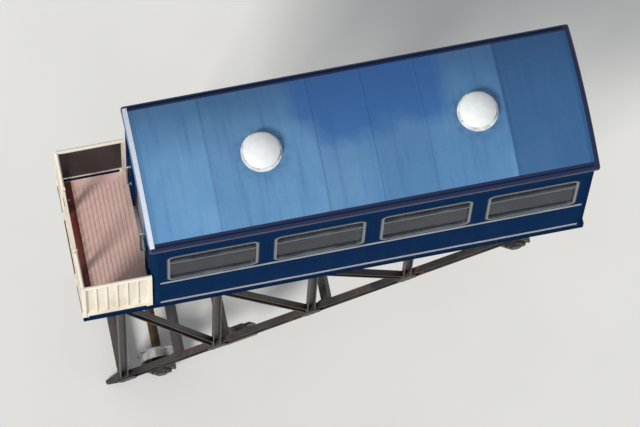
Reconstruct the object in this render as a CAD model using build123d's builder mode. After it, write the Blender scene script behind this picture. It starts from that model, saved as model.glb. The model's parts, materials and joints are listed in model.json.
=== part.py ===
from build123d import *
import os
from math import atan2, copysign, cos, degrees, hypot, radians, sin, sqrt, tan

# A cliff funicular car: a level saloon with an open end platform, carried by a wedge-shaped frame on
# two wheelsets that stand on a steep pair of rails. Millimetres, +X uphill, +Z up, +Y the left side.
# The origin lies on the rail-head plane, midway between the four wheels.

# Track that the car stands on
slope_deg = 32.6
gauge = 1067
rail_head_width = 64

# Wheelsets
wheelbase = 3900
tread_radius = 210
flange_height = 28
flange_thickness = 28
flange_play = 6
rim_width = 110
rim_depth = 42
wheel_web = 24
hub_radius = 78
hub_length = 130
axle_radius = 52
journal_radius = 38
tread_fall = 5
flange_bevel = 7

# Wedge side frames
frame_clearance = 30
frame_width = 70
frame_web = 12
frame_flange = 12
chord_depth = 120
post_depth = 90
end_post_reach = 530
uphill_clearance = 90
frame_high_reach = 210
post_pitch = 1050
posts = 4
diagonal_depth = 80
horn_width = 45
stay_depth = 20

# Axle boxes
box_side = 180
box_width = 100
box_cap_radius = 62
box_cap_depth = 18
running_gap = 0.1
journal_end_gap = 2
box_bevel = 14

# Deck
bearer_depth = 100
bearer_width = 60
bearer_wall = 10
bearers = 7
deck_thickness = 40
sole_bar_width = 35
sole_bar_flange = 14
sole_bar_web = 12
headstock_width = 35

# Saloon
saloon_length = 4700
saloon_high_x = 2550
body_width = 1560
wall = 40
corner_radius = 80
wall_height = 2040
roof_corner = 32
roof_end_round = 28
roof_rise = 150
roof_edge = 55
roof_crown = 35
roof_overhang = 25
seat_gap = 0.3

# Windows
windows = 4
window_pillar = 170
window_height = 860
window_sill = 860
window_radius = 85
window_ring = 26
window_proud = 6
transom_drop = 230
transom_depth = 22
glass = 6

# Sliding end doors
door_opening = 680
door_leaf_width = 362
door_header = 80
door_lap = 30
door_thickness = 30
door_wall_gap = 8
door_meeting_gap = 5
door_floor_gap = 8
door_travel = 340
door_glass_width = 210
door_glass_height = 900
door_glass_sill = 860
door_hanger = 12
door_hanger_length = 60
door_hanger_height = 40
door_track_width = 52
door_track_height = 56
door_track_drop = 5
hanger_play = 0.5
door_pull_inset = 45
door_pull_above = 1050
door_pull_width = 36
door_pull_height = 160
door_pull_depth = 10
end_window_width = 210
end_window_radius = 60

# Platform at the downhill end
platform_length = 750
rail_height = 1050
rail_tube = 19
rail_post = 40
baluster = 14
balusters_side = 5
balusters_end = 3
balusters_gate = 5
rail_foot = 110
gate_width = 680
gate_gap = 8
gate_drop = 45
hinge_radius = 15
hinge_ear = 30

# Inside the saloon
bench_length = 3000
bench_height = 430
bench_depth = 410
bench_back = 420
bench_brackets = 4
bench_overhang = 150
bracket_thickness = 30
slat = 58
slat_thickness = 22
slat_gap = 12
pole_radius = 16
lamp_radius = 120
lamp_edge = 12
lamp_drop = 33
lamp_places = (0.3, 0.7)

# Round roof vents
vent_from_low_end = (0.28, 0.76)
vent_radius = 190
vent_neck_radius = 150
vent_neck = 45
vent_base_radius = 215
vent_base = 8
vent_edge = 12
vent_rise = 58

# Cross members, draw gear, brakes and buffers
cross_depth = 90
brace_width = 60
brace_thickness = 10
draw_along = 1850
draw_past_axle = 465
draw_above = 75
draw_thickness = 44
draw_cheek = 12
draw_width = 90
draw_pin = 20
fork_throat = 14
equaliser_half = 150
equaliser_depth = 40
equaliser_gap = 0.5
socket_length = 220
socket_radius = 34
socket_wall = 8
socket_taper = 1.5
rope_radius = 13
brake_along = -1350
brake_length = 420
brake_jaw = 30
brake_jaw_gap = 8
brake_jaw_top = 90
brake_below = 20
brake_bridge_low = 45
brake_bridge_high = 135
brake_hanger = 60
brake_bevel = 10
buffer_radius = 45
buffer_length = 120
buffer_plate = 20
buffer_taper = 8

slope = radians(slope_deg)
axle_along = wheelbase / 2 / cos(slope)
chord_above = tread_radius + box_side / 2 + chord_depth / 2
horn_foot = tread_radius - box_side / 2
end_post_x = -wheelbase / 2 - end_post_reach
frame_low_x = end_post_x - post_depth / 2
frame_low_along = (frame_low_x + (chord_above - chord_depth / 2) * sin(slope)) / cos(slope)
bearer_high_x = saloon_high_x - headstock_width - bearer_width / 2
frame_top = bearer_high_x * tan(slope) + uphill_clearance + chord_depth
deck_low = frame_top + bearer_depth
floor_top = deck_low + deck_thickness
eaves = floor_top + wall_height
saloon_low_x = saloon_high_x - saloon_length
saloon_mid_x = (saloon_low_x + saloon_high_x) / 2
platform_low_x = saloon_low_x - platform_length
body_half = body_width / 2
inner_half = body_half - wall
floor_half = body_half - sole_bar_width
bearer_low_x = platform_low_x + headstock_width + bearer_width / 2
chord_z = frame_top - chord_depth / 2
wheel_back = gauge / 2 - flange_play - flange_thickness
wheel_face = wheel_back + rim_width
hub_back = wheel_back - (hub_length - rim_width) / 2
frame_inner = hub_back + hub_length + frame_clearance
frame_outer = frame_inner + frame_width
side_low_x = saloon_low_x + corner_radius
side_high_x = saloon_high_x - corner_radius
window_pitch = (side_high_x - side_low_x) / windows
window_width = window_pitch - window_pillar
end_half = body_half - corner_radius
end_window_y = (door_opening / 2 + end_half) / 2
door_leaf_height = wall_height - door_header
door_opening_height = door_leaf_height - door_lap
draw_reach = axle_along + draw_past_axle


def on_slope(along, above):
    """The X and Z of a point so far along the rails and so far above their heads."""
    return (
        along * cos(slope) - above * sin(slope),
        along * sin(slope) + above * cos(slope),
    )


def low_chord_z(x):
    """The height of the lower chord's centre line at x."""
    return x * tan(slope) + chord_above / cos(slope)


def save(part, label):
    """Names a finished piece and writes it as its own file."""
    part.label = label
    export_step(part, f"parts/{label}.step")


def dome(radius, edge, rise):
    """Draws half of a pressed cap: a straight edge, then three cones that flatten towards the axis."""
    with BuildLine() as half:
        Polyline(
            (0, 0),
            (radius, 0),
            (radius, edge),
            (radius * 0.85, edge + rise * 0.45),
            (radius * 0.5, edge + rise * 0.85),
            (0, edge + rise),
            close=True,
        )
    make_face(half.edges())


def bars(members, longer=0, deeper=0, mode=Mode.ADD):
    """Draws each member, a tuple of two end points and a depth, as a rectangle along its line."""
    for x0, z0, x1, z1, depth in members:
        turn = degrees(atan2(z1 - z0, x1 - x0))
        with Locations(((x0 + x1) / 2, (z0 + z1) / 2)):
            Rectangle(hypot(x1 - x0, z1 - z0) + longer, depth + deeper, rotation=turn, mode=mode)


os.makedirs("parts", exist_ok=True)

# Wedge side frames, each of rolled channels with their open side outwards: a sloping chord over the
# wheels, a level chord below the deck, posts and diagonals between the two, and the axle horns
chord_low = on_slope(frame_low_along, chord_above)
chord_high = on_slope(axle_along + frame_high_reach, chord_above)
post_x = [end_post_x + post_pitch * n for n in range(posts)]
low_chord = [(*chord_low, *chord_high, chord_depth)]
top_chord = [(frame_low_x, chord_z, bearer_high_x, chord_z, chord_depth)]
frame_posts = [(x, low_chord_z(x), x, chord_z, post_depth) for x in post_x]
frame_diagonals = [
    (x, chord_z, x + post_pitch, low_chord_z(x + post_pitch), diagonal_depth) for x in post_x[:-1]
]
for label, members, beside in (
    ("top_chords", top_chord, []),
    ("low_chords", low_chord, top_chord),
    ("frame_posts", frame_posts, low_chord + top_chord),
    ("frame_diagonals", frame_diagonals, low_chord + top_chord + frame_posts),
):
    with BuildPart() as channels:
        with BuildSketch(Plane.XZ.offset(-frame_outer)):
            bars(members)
            if beside:
                bars(beside, mode=Mode.SUBTRACT)
        extrude(amount=frame_width)
        with BuildSketch(Plane.XZ.offset(-frame_outer)):
            bars(members, longer=-2 * frame_flange, deeper=-2 * frame_flange)
            if beside:
                bars(beside, deeper=2 * frame_flange, mode=Mode.SUBTRACT)
        extrude(amount=frame_width - frame_web, mode=Mode.SUBTRACT)
        mirror(about=Plane.XZ)
    save(channels.part, label)

# Axle horns: two legs under the chord on each side of an axle box, and the stay that ties their feet
leg_offset = (box_side + horn_width) / 2
with BuildPart() as axle_horns:
    with BuildSketch(Plane.XZ.offset(-frame_outer)):
        for along in (-axle_along, axle_along):
            bars([
                (*on_slope(along + side * leg_offset, chord_above - chord_depth / 2),
                 *on_slope(along + side * leg_offset, horn_foot), horn_width)
                for side in (-1, 1)
            ])
            bars([(*on_slope(along - leg_offset - horn_width / 2, horn_foot - stay_depth / 2),
                   *on_slope(along + leg_offset + horn_width / 2, horn_foot - stay_depth / 2), stay_depth)])
    extrude(amount=frame_width)
    mirror(about=Plane.XZ)
save(axle_horns.part, "axle_horns")

# Cross members between the two side frames
cross_places = [
    # x, z, turn
    (*on_slope(frame_low_along + cross_depth, chord_above), slope_deg),
    (*on_slope(-axle_along + 2 * box_side, chord_above), slope_deg),
    (*on_slope(brake_along, chord_above), slope_deg),
    (*on_slope(0, chord_above), slope_deg),
    (*on_slope(draw_along, chord_above), slope_deg),
    (post_x[1], chord_z, 0),
    (post_x[2], chord_z, 0),
]
brace_low_z = low_chord_z(end_post_x) + chord_depth
brace_high_z = chord_z - chord_depth / 2
brace_turn = degrees(atan2(brace_high_z - brace_low_z, 2 * frame_inner))
brace_length = hypot(brace_high_z - brace_low_z, 2 * frame_inner) + brace_width
with BuildPart() as cross_members:
    with BuildSketch(Plane.XZ.offset(-frame_inner)):
        for x, z, turn in cross_places:
            with Locations((x, z)):
                Rectangle(cross_depth, cross_depth, rotation=turn)
    extrude(amount=2 * frame_inner)
    with BuildSketch(Plane.YZ.offset(end_post_x - brace_thickness / 2)):
        with Locations((0, (brace_low_z + brace_high_z) / 2)):
            for turn in (brace_turn, -brace_turn):
                Rectangle(brace_length, brace_width, rotation=turn)
            Rectangle(2 * frame_inner, brace_high_z - brace_low_z, mode=Mode.INTERSECT)
    extrude(amount=brace_thickness)
save(cross_members.part, "cross_members")

# Axle boxes between the horns, each with a round cap over the end of its journal
with BuildSketch() as box_outline:
    Rectangle(box_side, box_side, rotation=slope_deg)
    chamfer(box_outline.vertices(), box_bevel)
with BuildPart() as axle_boxes:
    for along in (-axle_along, axle_along):
        axle_x, axle_z = on_slope(along, tread_radius)
        with BuildSketch(Plane.XZ.offset(-frame_inner)):
            with Locations((axle_x, axle_z)):
                add(box_outline.sketch)
                Circle(journal_radius + running_gap, mode=Mode.SUBTRACT)
        extrude(amount=-box_width)
        with BuildSketch(Plane.XZ.offset(-frame_inner - box_width)):
            with Locations((axle_x, axle_z)):
                Circle(box_cap_radius)
        extrude(amount=-box_cap_depth)
    mirror(about=Plane.XZ)
save(axle_boxes.part, "axle_boxes")

# Wheelsets: an axle with two flanged wheels, turned in one profile and mirrored
web_middle = (wheel_back + wheel_face) / 2
rim_inner = tread_radius - rim_depth
for name, along in (("wheelset_lower", -axle_along), ("wheelset_upper", axle_along)):
    axle_x, axle_z = on_slope(along, tread_radius)
    with BuildPart() as wheelset:
        with BuildSketch(Plane(origin=(axle_x, 0, axle_z), x_dir=(0, 1, 0), z_dir=(1, 0, 0))):
            with BuildLine():
                Polyline(
                    (0, 0),
                    (0, axle_radius),
                    (hub_back, axle_radius),
                    (hub_back, hub_radius),
                    (web_middle - wheel_web / 2, hub_radius),
                    (web_middle - wheel_web / 2, rim_inner),
                    (wheel_back, rim_inner),
                    (wheel_back, tread_radius + flange_height - flange_bevel),
                    (wheel_back + flange_bevel, tread_radius + flange_height),
                    (wheel_back + 2 * flange_bevel, tread_radius + flange_height),
                    (wheel_back + flange_thickness, tread_radius),
                    (wheel_face, tread_radius - tread_fall),
                    (wheel_face, rim_inner),
                    (web_middle + wheel_web / 2, rim_inner),
                    (web_middle + wheel_web / 2, hub_radius),
                    (hub_back + hub_length, hub_radius),
                    (hub_back + hub_length, journal_radius),
                    (frame_inner + box_width - journal_end_gap, journal_radius),
                    (frame_inner + box_width - journal_end_gap, 0),
                    close=True,
                )
            make_face()
        revolve(axis=Axis((axle_x, 0, axle_z), (0, 1, 0)))
        mirror(about=Plane.XZ)
    save(wheelset.part, name)

# Floor bearers: channels across the frames, open towards the downhill end
bearer_pitch = (bearer_high_x - bearer_low_x) / (bearers - 1)
with BuildPart() as floor_bearers:
    with BuildSketch(Plane.XZ.offset(-floor_half)):
        with Locations(((bearer_low_x + bearer_high_x) / 2, frame_top + bearer_depth / 2)):
            with GridLocations(bearer_pitch, 0, bearers, 1):
                Rectangle(bearer_width, bearer_depth)
            with Locations((-bearer_wall, 0)):
                with GridLocations(bearer_pitch, 0, bearers, 1):
                    Rectangle(bearer_width, bearer_depth - 2 * bearer_wall, mode=Mode.SUBTRACT)
    extrude(amount=2 * floor_half)
save(floor_bearers.part, "floor_bearers")

# Sole bars along both sides, channels with their open side outwards, and headstocks across both ends
sole_bar_length = saloon_high_x - platform_low_x
sole_bar_depth = floor_top - frame_top
with BuildPart() as sole_bars:
    with BuildSketch(Plane.XZ.offset(-body_half)):
        with Locations(((platform_low_x + saloon_high_x) / 2, (frame_top + floor_top) / 2)):
            Rectangle(sole_bar_length, sole_bar_depth)
    extrude(amount=sole_bar_width)
    with BuildSketch(Plane.XZ.offset(-body_half)):
        with Locations(((platform_low_x + saloon_high_x) / 2, (frame_top + floor_top) / 2)):
            Rectangle(sole_bar_length - 2 * sole_bar_flange, sole_bar_depth - 2 * sole_bar_flange)
    extrude(amount=sole_bar_width - sole_bar_web, mode=Mode.SUBTRACT)
    mirror(about=Plane.XZ)
save(sole_bars.part, "sole_bars")

with BuildPart() as headstocks:
    for x in (platform_low_x, saloon_high_x - headstock_width):
        with BuildSketch(Plane.YZ.offset(x)):
            with Locations((0, (frame_top + floor_top) / 2)):
                Rectangle(2 * floor_half, floor_top - frame_top)
        extrude(amount=headstock_width)
save(headstocks.part, "headstocks")

# Decks of the saloon and of the platform, laid on the bearers between the sole bars
for name, x0, x1 in (
    ("platform_floor", platform_low_x + headstock_width, saloon_low_x),
    ("saloon_floor", saloon_low_x, saloon_high_x - headstock_width),
):
    with BuildPart() as deck:
        with BuildSketch(Plane.XY.offset(deck_low)):
            with Locations(((x0 + x1) / 2, 0)):
                Rectangle(x1 - x0, 2 * floor_half)
        extrude(amount=deck_thickness)
    save(deck.part, name)

# Corner posts: quarter-round extrusions that join the walls
with BuildPart() as corner_posts:
    with BuildSketch(Plane.XY.offset(floor_top)):
        for x, side_x in ((saloon_low_x, 1), (saloon_high_x, -1)):
            for side_y in (-1, 1):
                centre = (x + side_x * corner_radius, side_y * (body_half - corner_radius))
                with Locations(centre):
                    Circle(corner_radius)
                    Circle(corner_radius - wall, mode=Mode.SUBTRACT)
                with Locations((centre[0] + side_x * corner_radius / 2, centre[1])):
                    Rectangle(corner_radius, 2 * corner_radius, mode=Mode.SUBTRACT)
                with Locations((centre[0], centre[1] - side_y * corner_radius / 2)):
                    Rectangle(2 * corner_radius, corner_radius, mode=Mode.SUBTRACT)
    extrude(amount=wall_height)
save(corner_posts.part, "corner_posts")

# Side walls, one whole panel each, with the window openings cut
window_middle = floor_top + window_sill + window_height / 2
for name, outer_y in (("side_wall_left", body_half), ("side_wall_right", wall - body_half)):
    with BuildPart() as side_wall:
        with BuildSketch(Plane.XZ.offset(-outer_y)):
            with Locations((saloon_mid_x, floor_top + wall_height / 2)):
                Rectangle(side_high_x - side_low_x, wall_height)
            with Locations((saloon_mid_x, window_middle)):
                with GridLocations(window_pitch, 0, windows, 1):
                    RectangleRounded(window_width, window_height, window_radius, mode=Mode.SUBTRACT)
        extrude(amount=wall)
    save(side_wall.part, name)

# Window frames: a ring and a transom bar in each side opening
transom_z = window_middle + window_height / 2 - transom_drop
with BuildPart() as window_frames:
    with BuildSketch(Plane.XZ.offset(-body_half - window_proud)):
        with Locations((saloon_mid_x, window_middle)):
            with GridLocations(window_pitch, 0, windows, 1):
                RectangleRounded(window_width, window_height, window_radius)
                RectangleRounded(
                    window_width - 2 * window_ring,
                    window_height - 2 * window_ring,
                    window_radius - window_ring,
                    mode=Mode.SUBTRACT,
                )
        with Locations((saloon_mid_x, transom_z)):
            with GridLocations(window_pitch, 0, windows, 1):
                Rectangle(window_width - window_ring, transom_depth)
    extrude(amount=wall + 2 * window_proud)
    mirror(about=Plane.XZ)
save(window_frames.part, "window_frames")

# Side glass, a pane above and a pane below each transom bar
pane_low = window_middle - window_height / 2 + window_ring
pane_high = window_middle + window_height / 2 - window_ring
glass_plane = Plane.XZ.offset(-body_half + wall / 2 - glass / 2)
with BuildPart() as side_glass:
    with BuildSketch(glass_plane):
        with Locations((saloon_mid_x, window_middle)):
            with GridLocations(window_pitch, 0, windows, 1):
                RectangleRounded(
                    window_width - 2 * window_ring,
                    window_height - 2 * window_ring,
                    window_radius - window_ring,
                )
        with Locations((saloon_mid_x, transom_z)):
            Rectangle(saloon_length, transom_depth, mode=Mode.SUBTRACT)
    extrude(amount=glass)
    mirror(about=Plane.XZ)
save(side_glass.part, "side_glass")

# Arches of the roof: the inner one springs from the walls' inner faces, the outer one from the edge
roof_half = body_half + roof_overhang
inner_rise = roof_rise + roof_edge - roof_crown
inner_radius = (inner_half**2 + inner_rise**2) / (2 * inner_rise)
inner_centre_z = eaves + inner_rise - inner_radius


def ceiling_z(y, gap=0):
    """The height of the ceiling's arch, less a gap, at so far from the middle."""
    return inner_centre_z + sqrt((inner_radius - gap) ** 2 - y**2)


# Roof: one curved shell with rounded corners that sits on the walls
crown_z = eaves + roof_edge + roof_rise
roof_low_x = saloon_low_x - roof_overhang
roof_length = saloon_length + 2 * roof_overhang
with BuildPart() as roof:
    with BuildSketch(Plane.YZ.offset(roof_low_x)) as section:
        with BuildLine():
            Polyline(
                (inner_half, eaves),
                (roof_half, eaves),
                (roof_half, eaves + roof_edge),
            )
            ThreePointArc((roof_half, eaves + roof_edge), (0, crown_z), (-roof_half, eaves + roof_edge))
            Polyline(
                (-roof_half, eaves + roof_edge),
                (-roof_half, eaves),
                (-inner_half, eaves),
            )
            ThreePointArc((-inner_half, eaves), (0, crown_z - roof_crown), (inner_half, eaves))
        make_face()
        fillet(section.vertices().group_by(Axis.Y)[-1], roof_corner)
    extrude(amount=roof_length)
    fillet(roof.edges().filter_by(Axis.Z), roof_end_round)
save(roof.part, "roof")

# Round roof vents: a neck that follows the roof and a domed cap
outer_radius = (roof_half**2 + roof_rise**2) / (2 * roof_rise)
outer_centre_z = crown_z - outer_radius
with BuildPart() as roof_vents:
    for share in vent_from_low_end:
        vent_x = roof_low_x + share * roof_length
        with BuildSketch(Plane.XY.offset(crown_z - vent_neck)):
            with Locations((vent_x, 0)):
                Circle(vent_neck_radius)
        extrude(amount=2 * vent_neck)
        with BuildSketch(Plane.XY.offset(crown_z - vent_neck)):
            with Locations((vent_x, 0)):
                Circle(vent_base_radius)
        extrude(amount=vent_neck + vent_base)
        with BuildSketch(Plane(origin=(vent_x, 0, crown_z + vent_neck), x_dir=(1, 0, 0), z_dir=(0, -1, 0))):
            dome(vent_radius, vent_edge, vent_rise)
        revolve(axis=Axis((vent_x, 0, 0), (0, 0, 1)))
    with BuildSketch(Plane.YZ.offset(roof_low_x)):
        with Locations((0, outer_centre_z)):
            Circle(outer_radius)
    extrude(amount=roof_length, mode=Mode.SUBTRACT)
save(roof_vents.part, "roof_vents")

# End walls, arched at the top to meet the ceiling, with a door opening and two narrow windows
end_window_middle = floor_top + door_glass_sill + door_glass_height / 2
with BuildSketch() as end_window_outline:
    RectangleRounded(end_window_width, door_glass_height, end_window_radius)
with BuildSketch() as door_glass_outline:
    RectangleRounded(door_glass_width, door_glass_height, end_window_radius)
for name, outer_x in (
    ("end_wall_lower", saloon_low_x),
    ("end_wall_upper", saloon_high_x - wall),
):
    with BuildPart() as end_wall:
        with BuildSketch(Plane.YZ.offset(outer_x)):
            with BuildLine():
                Polyline(
                    (end_half, ceiling_z(end_half, seat_gap)),
                    (end_half, floor_top),
                    (-end_half, floor_top),
                    (-end_half, ceiling_z(end_half, seat_gap)),
                )
                ThreePointArc(
                    (-end_half, ceiling_z(end_half, seat_gap)),
                    (0, ceiling_z(0, seat_gap)),
                    (end_half, ceiling_z(end_half, seat_gap)),
                )
            make_face()
            with Locations((0, floor_top + door_opening_height / 2)):
                Rectangle(door_opening, door_opening_height, mode=Mode.SUBTRACT)
            with Locations((0, end_window_middle)):
                with GridLocations(2 * end_window_y, 0, 2, 1):
                    add(end_window_outline.sketch, mode=Mode.SUBTRACT)
        extrude(amount=wall)
    save(end_wall.part, name)

with BuildPart() as end_glass:
    for x in (saloon_low_x + wall / 2, saloon_high_x - wall / 2):
        with BuildSketch(Plane.YZ.offset(x - glass / 2)):
            with Locations((0, end_window_middle)):
                with GridLocations(2 * end_window_y, 0, 2, 1):
                    add(end_window_outline.sketch)
        extrude(amount=glass)
save(end_glass.part, "end_glass")

# Sliding door leaves: each pair meets in the middle and hangs in a track inside its end wall
door_low = floor_top + door_floor_gap
leaf_y = (door_leaf_width + door_meeting_gap) / 2
hanger_top = door_low + door_leaf_height + door_hanger_height
lower_door_x = saloon_low_x + wall + door_wall_gap
upper_door_x = saloon_high_x - wall - door_wall_gap
for end, x0, outer_x in (
    ("lower", lower_door_x, lower_door_x),
    ("upper", upper_door_x - door_thickness, upper_door_x),
):
    for side, y in (("left", leaf_y), ("right", -leaf_y)):
        with BuildPart() as door:
            with BuildSketch(Plane.YZ.offset(x0)):
                with Locations((y, door_low + door_leaf_height / 2)):
                    Rectangle(door_leaf_width, door_leaf_height)
                with Locations((y, end_window_middle)):
                    add(door_glass_outline.sketch, mode=Mode.SUBTRACT)
            extrude(amount=door_thickness)
            with BuildSketch(Plane.XY.offset(door_low + door_leaf_height)):
                with Locations((x0 + door_thickness / 2, y)):
                    with GridLocations(0, door_leaf_width - 2 * door_hanger_length, 1, 2):
                        Rectangle(door_hanger, door_hanger_length)
            extrude(amount=door_hanger_height)
            with BuildSketch(Plane.YZ.offset(outer_x)):
                with Locations((copysign(door_pull_inset, y), floor_top + door_pull_above)):
                    RectangleRounded(door_pull_width, door_pull_height, door_pull_width / 3)
            extrude(amount=copysign(door_pull_depth, -outer_x), mode=Mode.SUBTRACT)
        save(door.part, f"door_{end}_{side}")
        with BuildPart() as pane:
            with BuildSketch(Plane.YZ.offset(x0 + door_thickness / 2 - glass / 2)):
                with Locations((y, end_window_middle)):
                    add(door_glass_outline.sketch)
            extrude(amount=glass)
        save(pane.part, f"door_glass_{end}_{side}")

# Door tracks: slotted channels on the end walls' inner faces that hold the hangers
track_low = door_low + door_leaf_height + door_track_drop
with BuildPart() as door_tracks:
    for wall_face, side_x in ((saloon_low_x + wall, 1), (saloon_high_x - wall, -1)):
        hanger_x = wall_face + side_x * (door_wall_gap + door_thickness / 2)
        with BuildSketch(Plane.XY.offset(track_low)):
            with Locations((wall_face + side_x * door_track_width / 2, 0)):
                Rectangle(door_track_width, 2 * end_half)
        extrude(amount=door_track_height)
        with BuildSketch(Plane.XY.offset(track_low)):
            with Locations((hanger_x, 0)):
                Rectangle(door_hanger + 2 * hanger_play, 2 * end_half)
        extrude(amount=hanger_top - track_low + hanger_play, mode=Mode.SUBTRACT)
save(door_tracks.part, "door_tracks")

# Platform railings: tube rails on square posts, with a gate opening at the downhill end
rail_x = platform_low_x + rail_post / 2
rail_y = body_half - rail_post / 2
gate_post_y = gate_width / 2 + gate_gap + rail_post / 2
top_z = floor_top + rail_height
foot_z = floor_top + rail_foot
stile_y = -gate_width / 2 + hinge_radius
with BuildPart() as platform_railings:
    with BuildSketch(Plane.XY.offset(floor_top)):
        for side in (-1, 1):
            with Locations(
                (rail_x, side * rail_y),
                (rail_x, side * gate_post_y),
                (saloon_low_x - rail_post / 2, side * rail_y),
            ):
                Rectangle(rail_post, rail_post)
    extrude(amount=rail_height)
    for height, depth in ((foot_z, baluster), (top_z - 2 * baluster, 2 * baluster)):
        with BuildSketch(Plane.XY.offset(height)):
            for side in (-1, 1):
                with Locations((platform_low_x + platform_length / 2, side * rail_y)):
                    Rectangle(platform_length, baluster * 2)
                with Locations((rail_x, side * (rail_y + gate_post_y) / 2)):
                    Rectangle(baluster * 2, rail_y - gate_post_y)
        extrude(amount=depth)
    for side in (-1, 1):
        with BuildSketch(Plane.YZ.offset(platform_low_x)):
            with Locations((side * rail_y, top_z)):
                Circle(rail_tube)
        extrude(amount=platform_length)
        with BuildSketch(Plane.XZ.offset(-side * gate_post_y)):
            with Locations((rail_x, top_z)):
                Circle(rail_tube)
        extrude(amount=-side * (rail_y - gate_post_y + rail_tube))
    for ear_z in (foot_z - hinge_ear, top_z - hinge_ear):
        with BuildSketch(Plane.XY.offset(ear_z)):
            with Locations((rail_x, stile_y)):
                Circle(hinge_radius + 10)
            with Locations((rail_x, (stile_y - gate_post_y) / 2)):
                Rectangle(2 * hinge_radius, gate_post_y + stile_y)
            with Locations((rail_x, stile_y)):
                Circle(hinge_radius + running_gap, mode=Mode.SUBTRACT)
        extrude(amount=hinge_ear / 2)
save(platform_railings.part, "platform_railings")

# Balusters between the lower and the upper flat of the railings
with BuildPart() as railing_balusters:
    with BuildSketch(Plane.XY.offset(foot_z + baluster)):
        for side in (-1, 1):
            span = platform_length - 2 * rail_post
            with Locations((platform_low_x + platform_length / 2, side * rail_y)):
                with GridLocations(span / (balusters_side + 1), 0, balusters_side, 1):
                    Rectangle(baluster, baluster)
            span = rail_y - gate_post_y - rail_post
            with Locations((rail_x, side * (rail_y + gate_post_y) / 2)):
                with GridLocations(0, span / (balusters_end + 1), 1, balusters_end):
                    Rectangle(baluster, baluster)
    extrude(amount=rail_height - rail_foot - 3 * baluster)
save(railing_balusters.part, "railing_balusters")

# Platform gate: bars between a latch stile and the hinge stile that turns in the two ears
latch_y = gate_width / 2 - rail_tube
with BuildPart() as platform_gate:
    with BuildSketch(Plane.XY.offset(foot_z - hinge_ear)):
        with Locations((rail_x, stile_y)):
            Circle(hinge_radius)
    extrude(amount=rail_height - rail_foot + hinge_ear)
    with BuildSketch(Plane.XY.offset(foot_z)):
        with Locations((rail_x, latch_y)):
            Rectangle(2 * hinge_radius, 2 * hinge_radius)
    extrude(amount=rail_height - rail_foot - gate_drop)
    for height in (foot_z, top_z - gate_drop - baluster):
        with BuildSketch(Plane.XY.offset(height)):
            with Locations((rail_x, (stile_y + latch_y) / 2)):
                Rectangle(2 * baluster, latch_y - stile_y)
        extrude(amount=baluster)
save(platform_gate.part, "platform_gate")

with BuildPart() as gate_balusters:
    with BuildSketch(Plane.XY.offset(foot_z + baluster)):
        with Locations((rail_x, (stile_y + latch_y) / 2)):
            with GridLocations(0, (latch_y - stile_y) / (balusters_gate + 1), 1, balusters_gate):
                Rectangle(baluster, baluster)
    extrude(amount=rail_height - rail_foot - gate_drop - 2 * baluster)
save(gate_balusters.part, "gate_balusters")

# Benches along both side walls: bent brackets that carry varnished slats
bracket_profile = [
    # from the wall, above the floor
    (0, bench_height - 60),
    (bench_depth * 0.55, bench_height - 130),
    (bench_depth * 0.55, 0),
    (bench_depth * 0.55 + 40, 0),
    (bench_depth * 0.55 + 40, bench_height - 90),
    (bench_depth, bench_height - 30),
    (bench_depth, bench_height),
    (60, bench_height),
    (30, bench_height + bench_back),
    (0, bench_height + bench_back),
]
bracket_pitch = (bench_length - 2 * bench_overhang) / (bench_brackets - 1)
seat_slats = 5
back_slats = 4
with BuildPart() as bench_brackets_part:
    for n in range(bench_brackets):
        bracket_x = saloon_mid_x + (n - (bench_brackets - 1) / 2) * bracket_pitch
        with BuildSketch(Plane.YZ.offset(bracket_x - bracket_thickness / 2)):
            with BuildLine():
                Polyline(*[(inner_half - y, floor_top + z) for y, z in bracket_profile], close=True)
            make_face()
        extrude(amount=bracket_thickness)
    mirror(about=Plane.XZ)
save(bench_brackets_part.part, "bench_brackets")

back_lean = degrees(atan2(30, bench_back))
for name, side in (("bench_slats_left", 1), ("bench_slats_right", -1)):
    with BuildPart() as slats:
        with BuildSketch(Plane.YZ.offset(saloon_mid_x - bench_length / 2)):
            for n in range(seat_slats):
                y = inner_half - bench_depth + slat / 2 + n * (slat + slat_gap)
                with Locations((side * y, floor_top + bench_height + slat_thickness / 2)):
                    Rectangle(slat, slat_thickness)
            for n in range(back_slats):
                up = 100 + n * (slat + slat_gap + 20)
                y = inner_half - 60 + 30 * up / bench_back - slat_thickness / 2 * cos(radians(back_lean))
                z = floor_top + bench_height + up + slat_thickness / 2 * sin(radians(back_lean))
                with Locations((side * y, z)):
                    Rectangle(slat_thickness, slat, rotation=-side * back_lean)
        extrude(amount=bench_length)
    save(slats.part, name)

# Grab poles from floor to ceiling, at both ends of the benches
pole_y = inner_half - bench_depth - 40
with BuildPart() as grab_poles:
    with BuildSketch(Plane.XY.offset(floor_top)):
        with Locations((saloon_mid_x, 0)):
            with GridLocations(bench_length + 120, 2 * pole_y, 2, 2):
                Circle(pole_radius)
    extrude(amount=ceiling_z(pole_y + pole_radius, seat_gap) - floor_top)
save(grab_poles.part, "grab_poles")

# Ceiling lamps: round bulkhead fittings along the middle of the roof
lamp_top = ceiling_z(lamp_radius, seat_gap)
with BuildPart() as ceiling_lamps:
    for share in lamp_places:
        lamp_x = saloon_low_x + share * saloon_length
        with BuildSketch(Plane(origin=(lamp_x, 0, lamp_top), x_dir=(-1, 0, 0), z_dir=(0, -1, 0))):
            dome(lamp_radius, lamp_edge, lamp_drop)
        revolve(axis=Axis((lamp_x, 0, 0), (0, 0, 1)))
save(ceiling_lamps.part, "ceiling_lamps")

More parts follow.
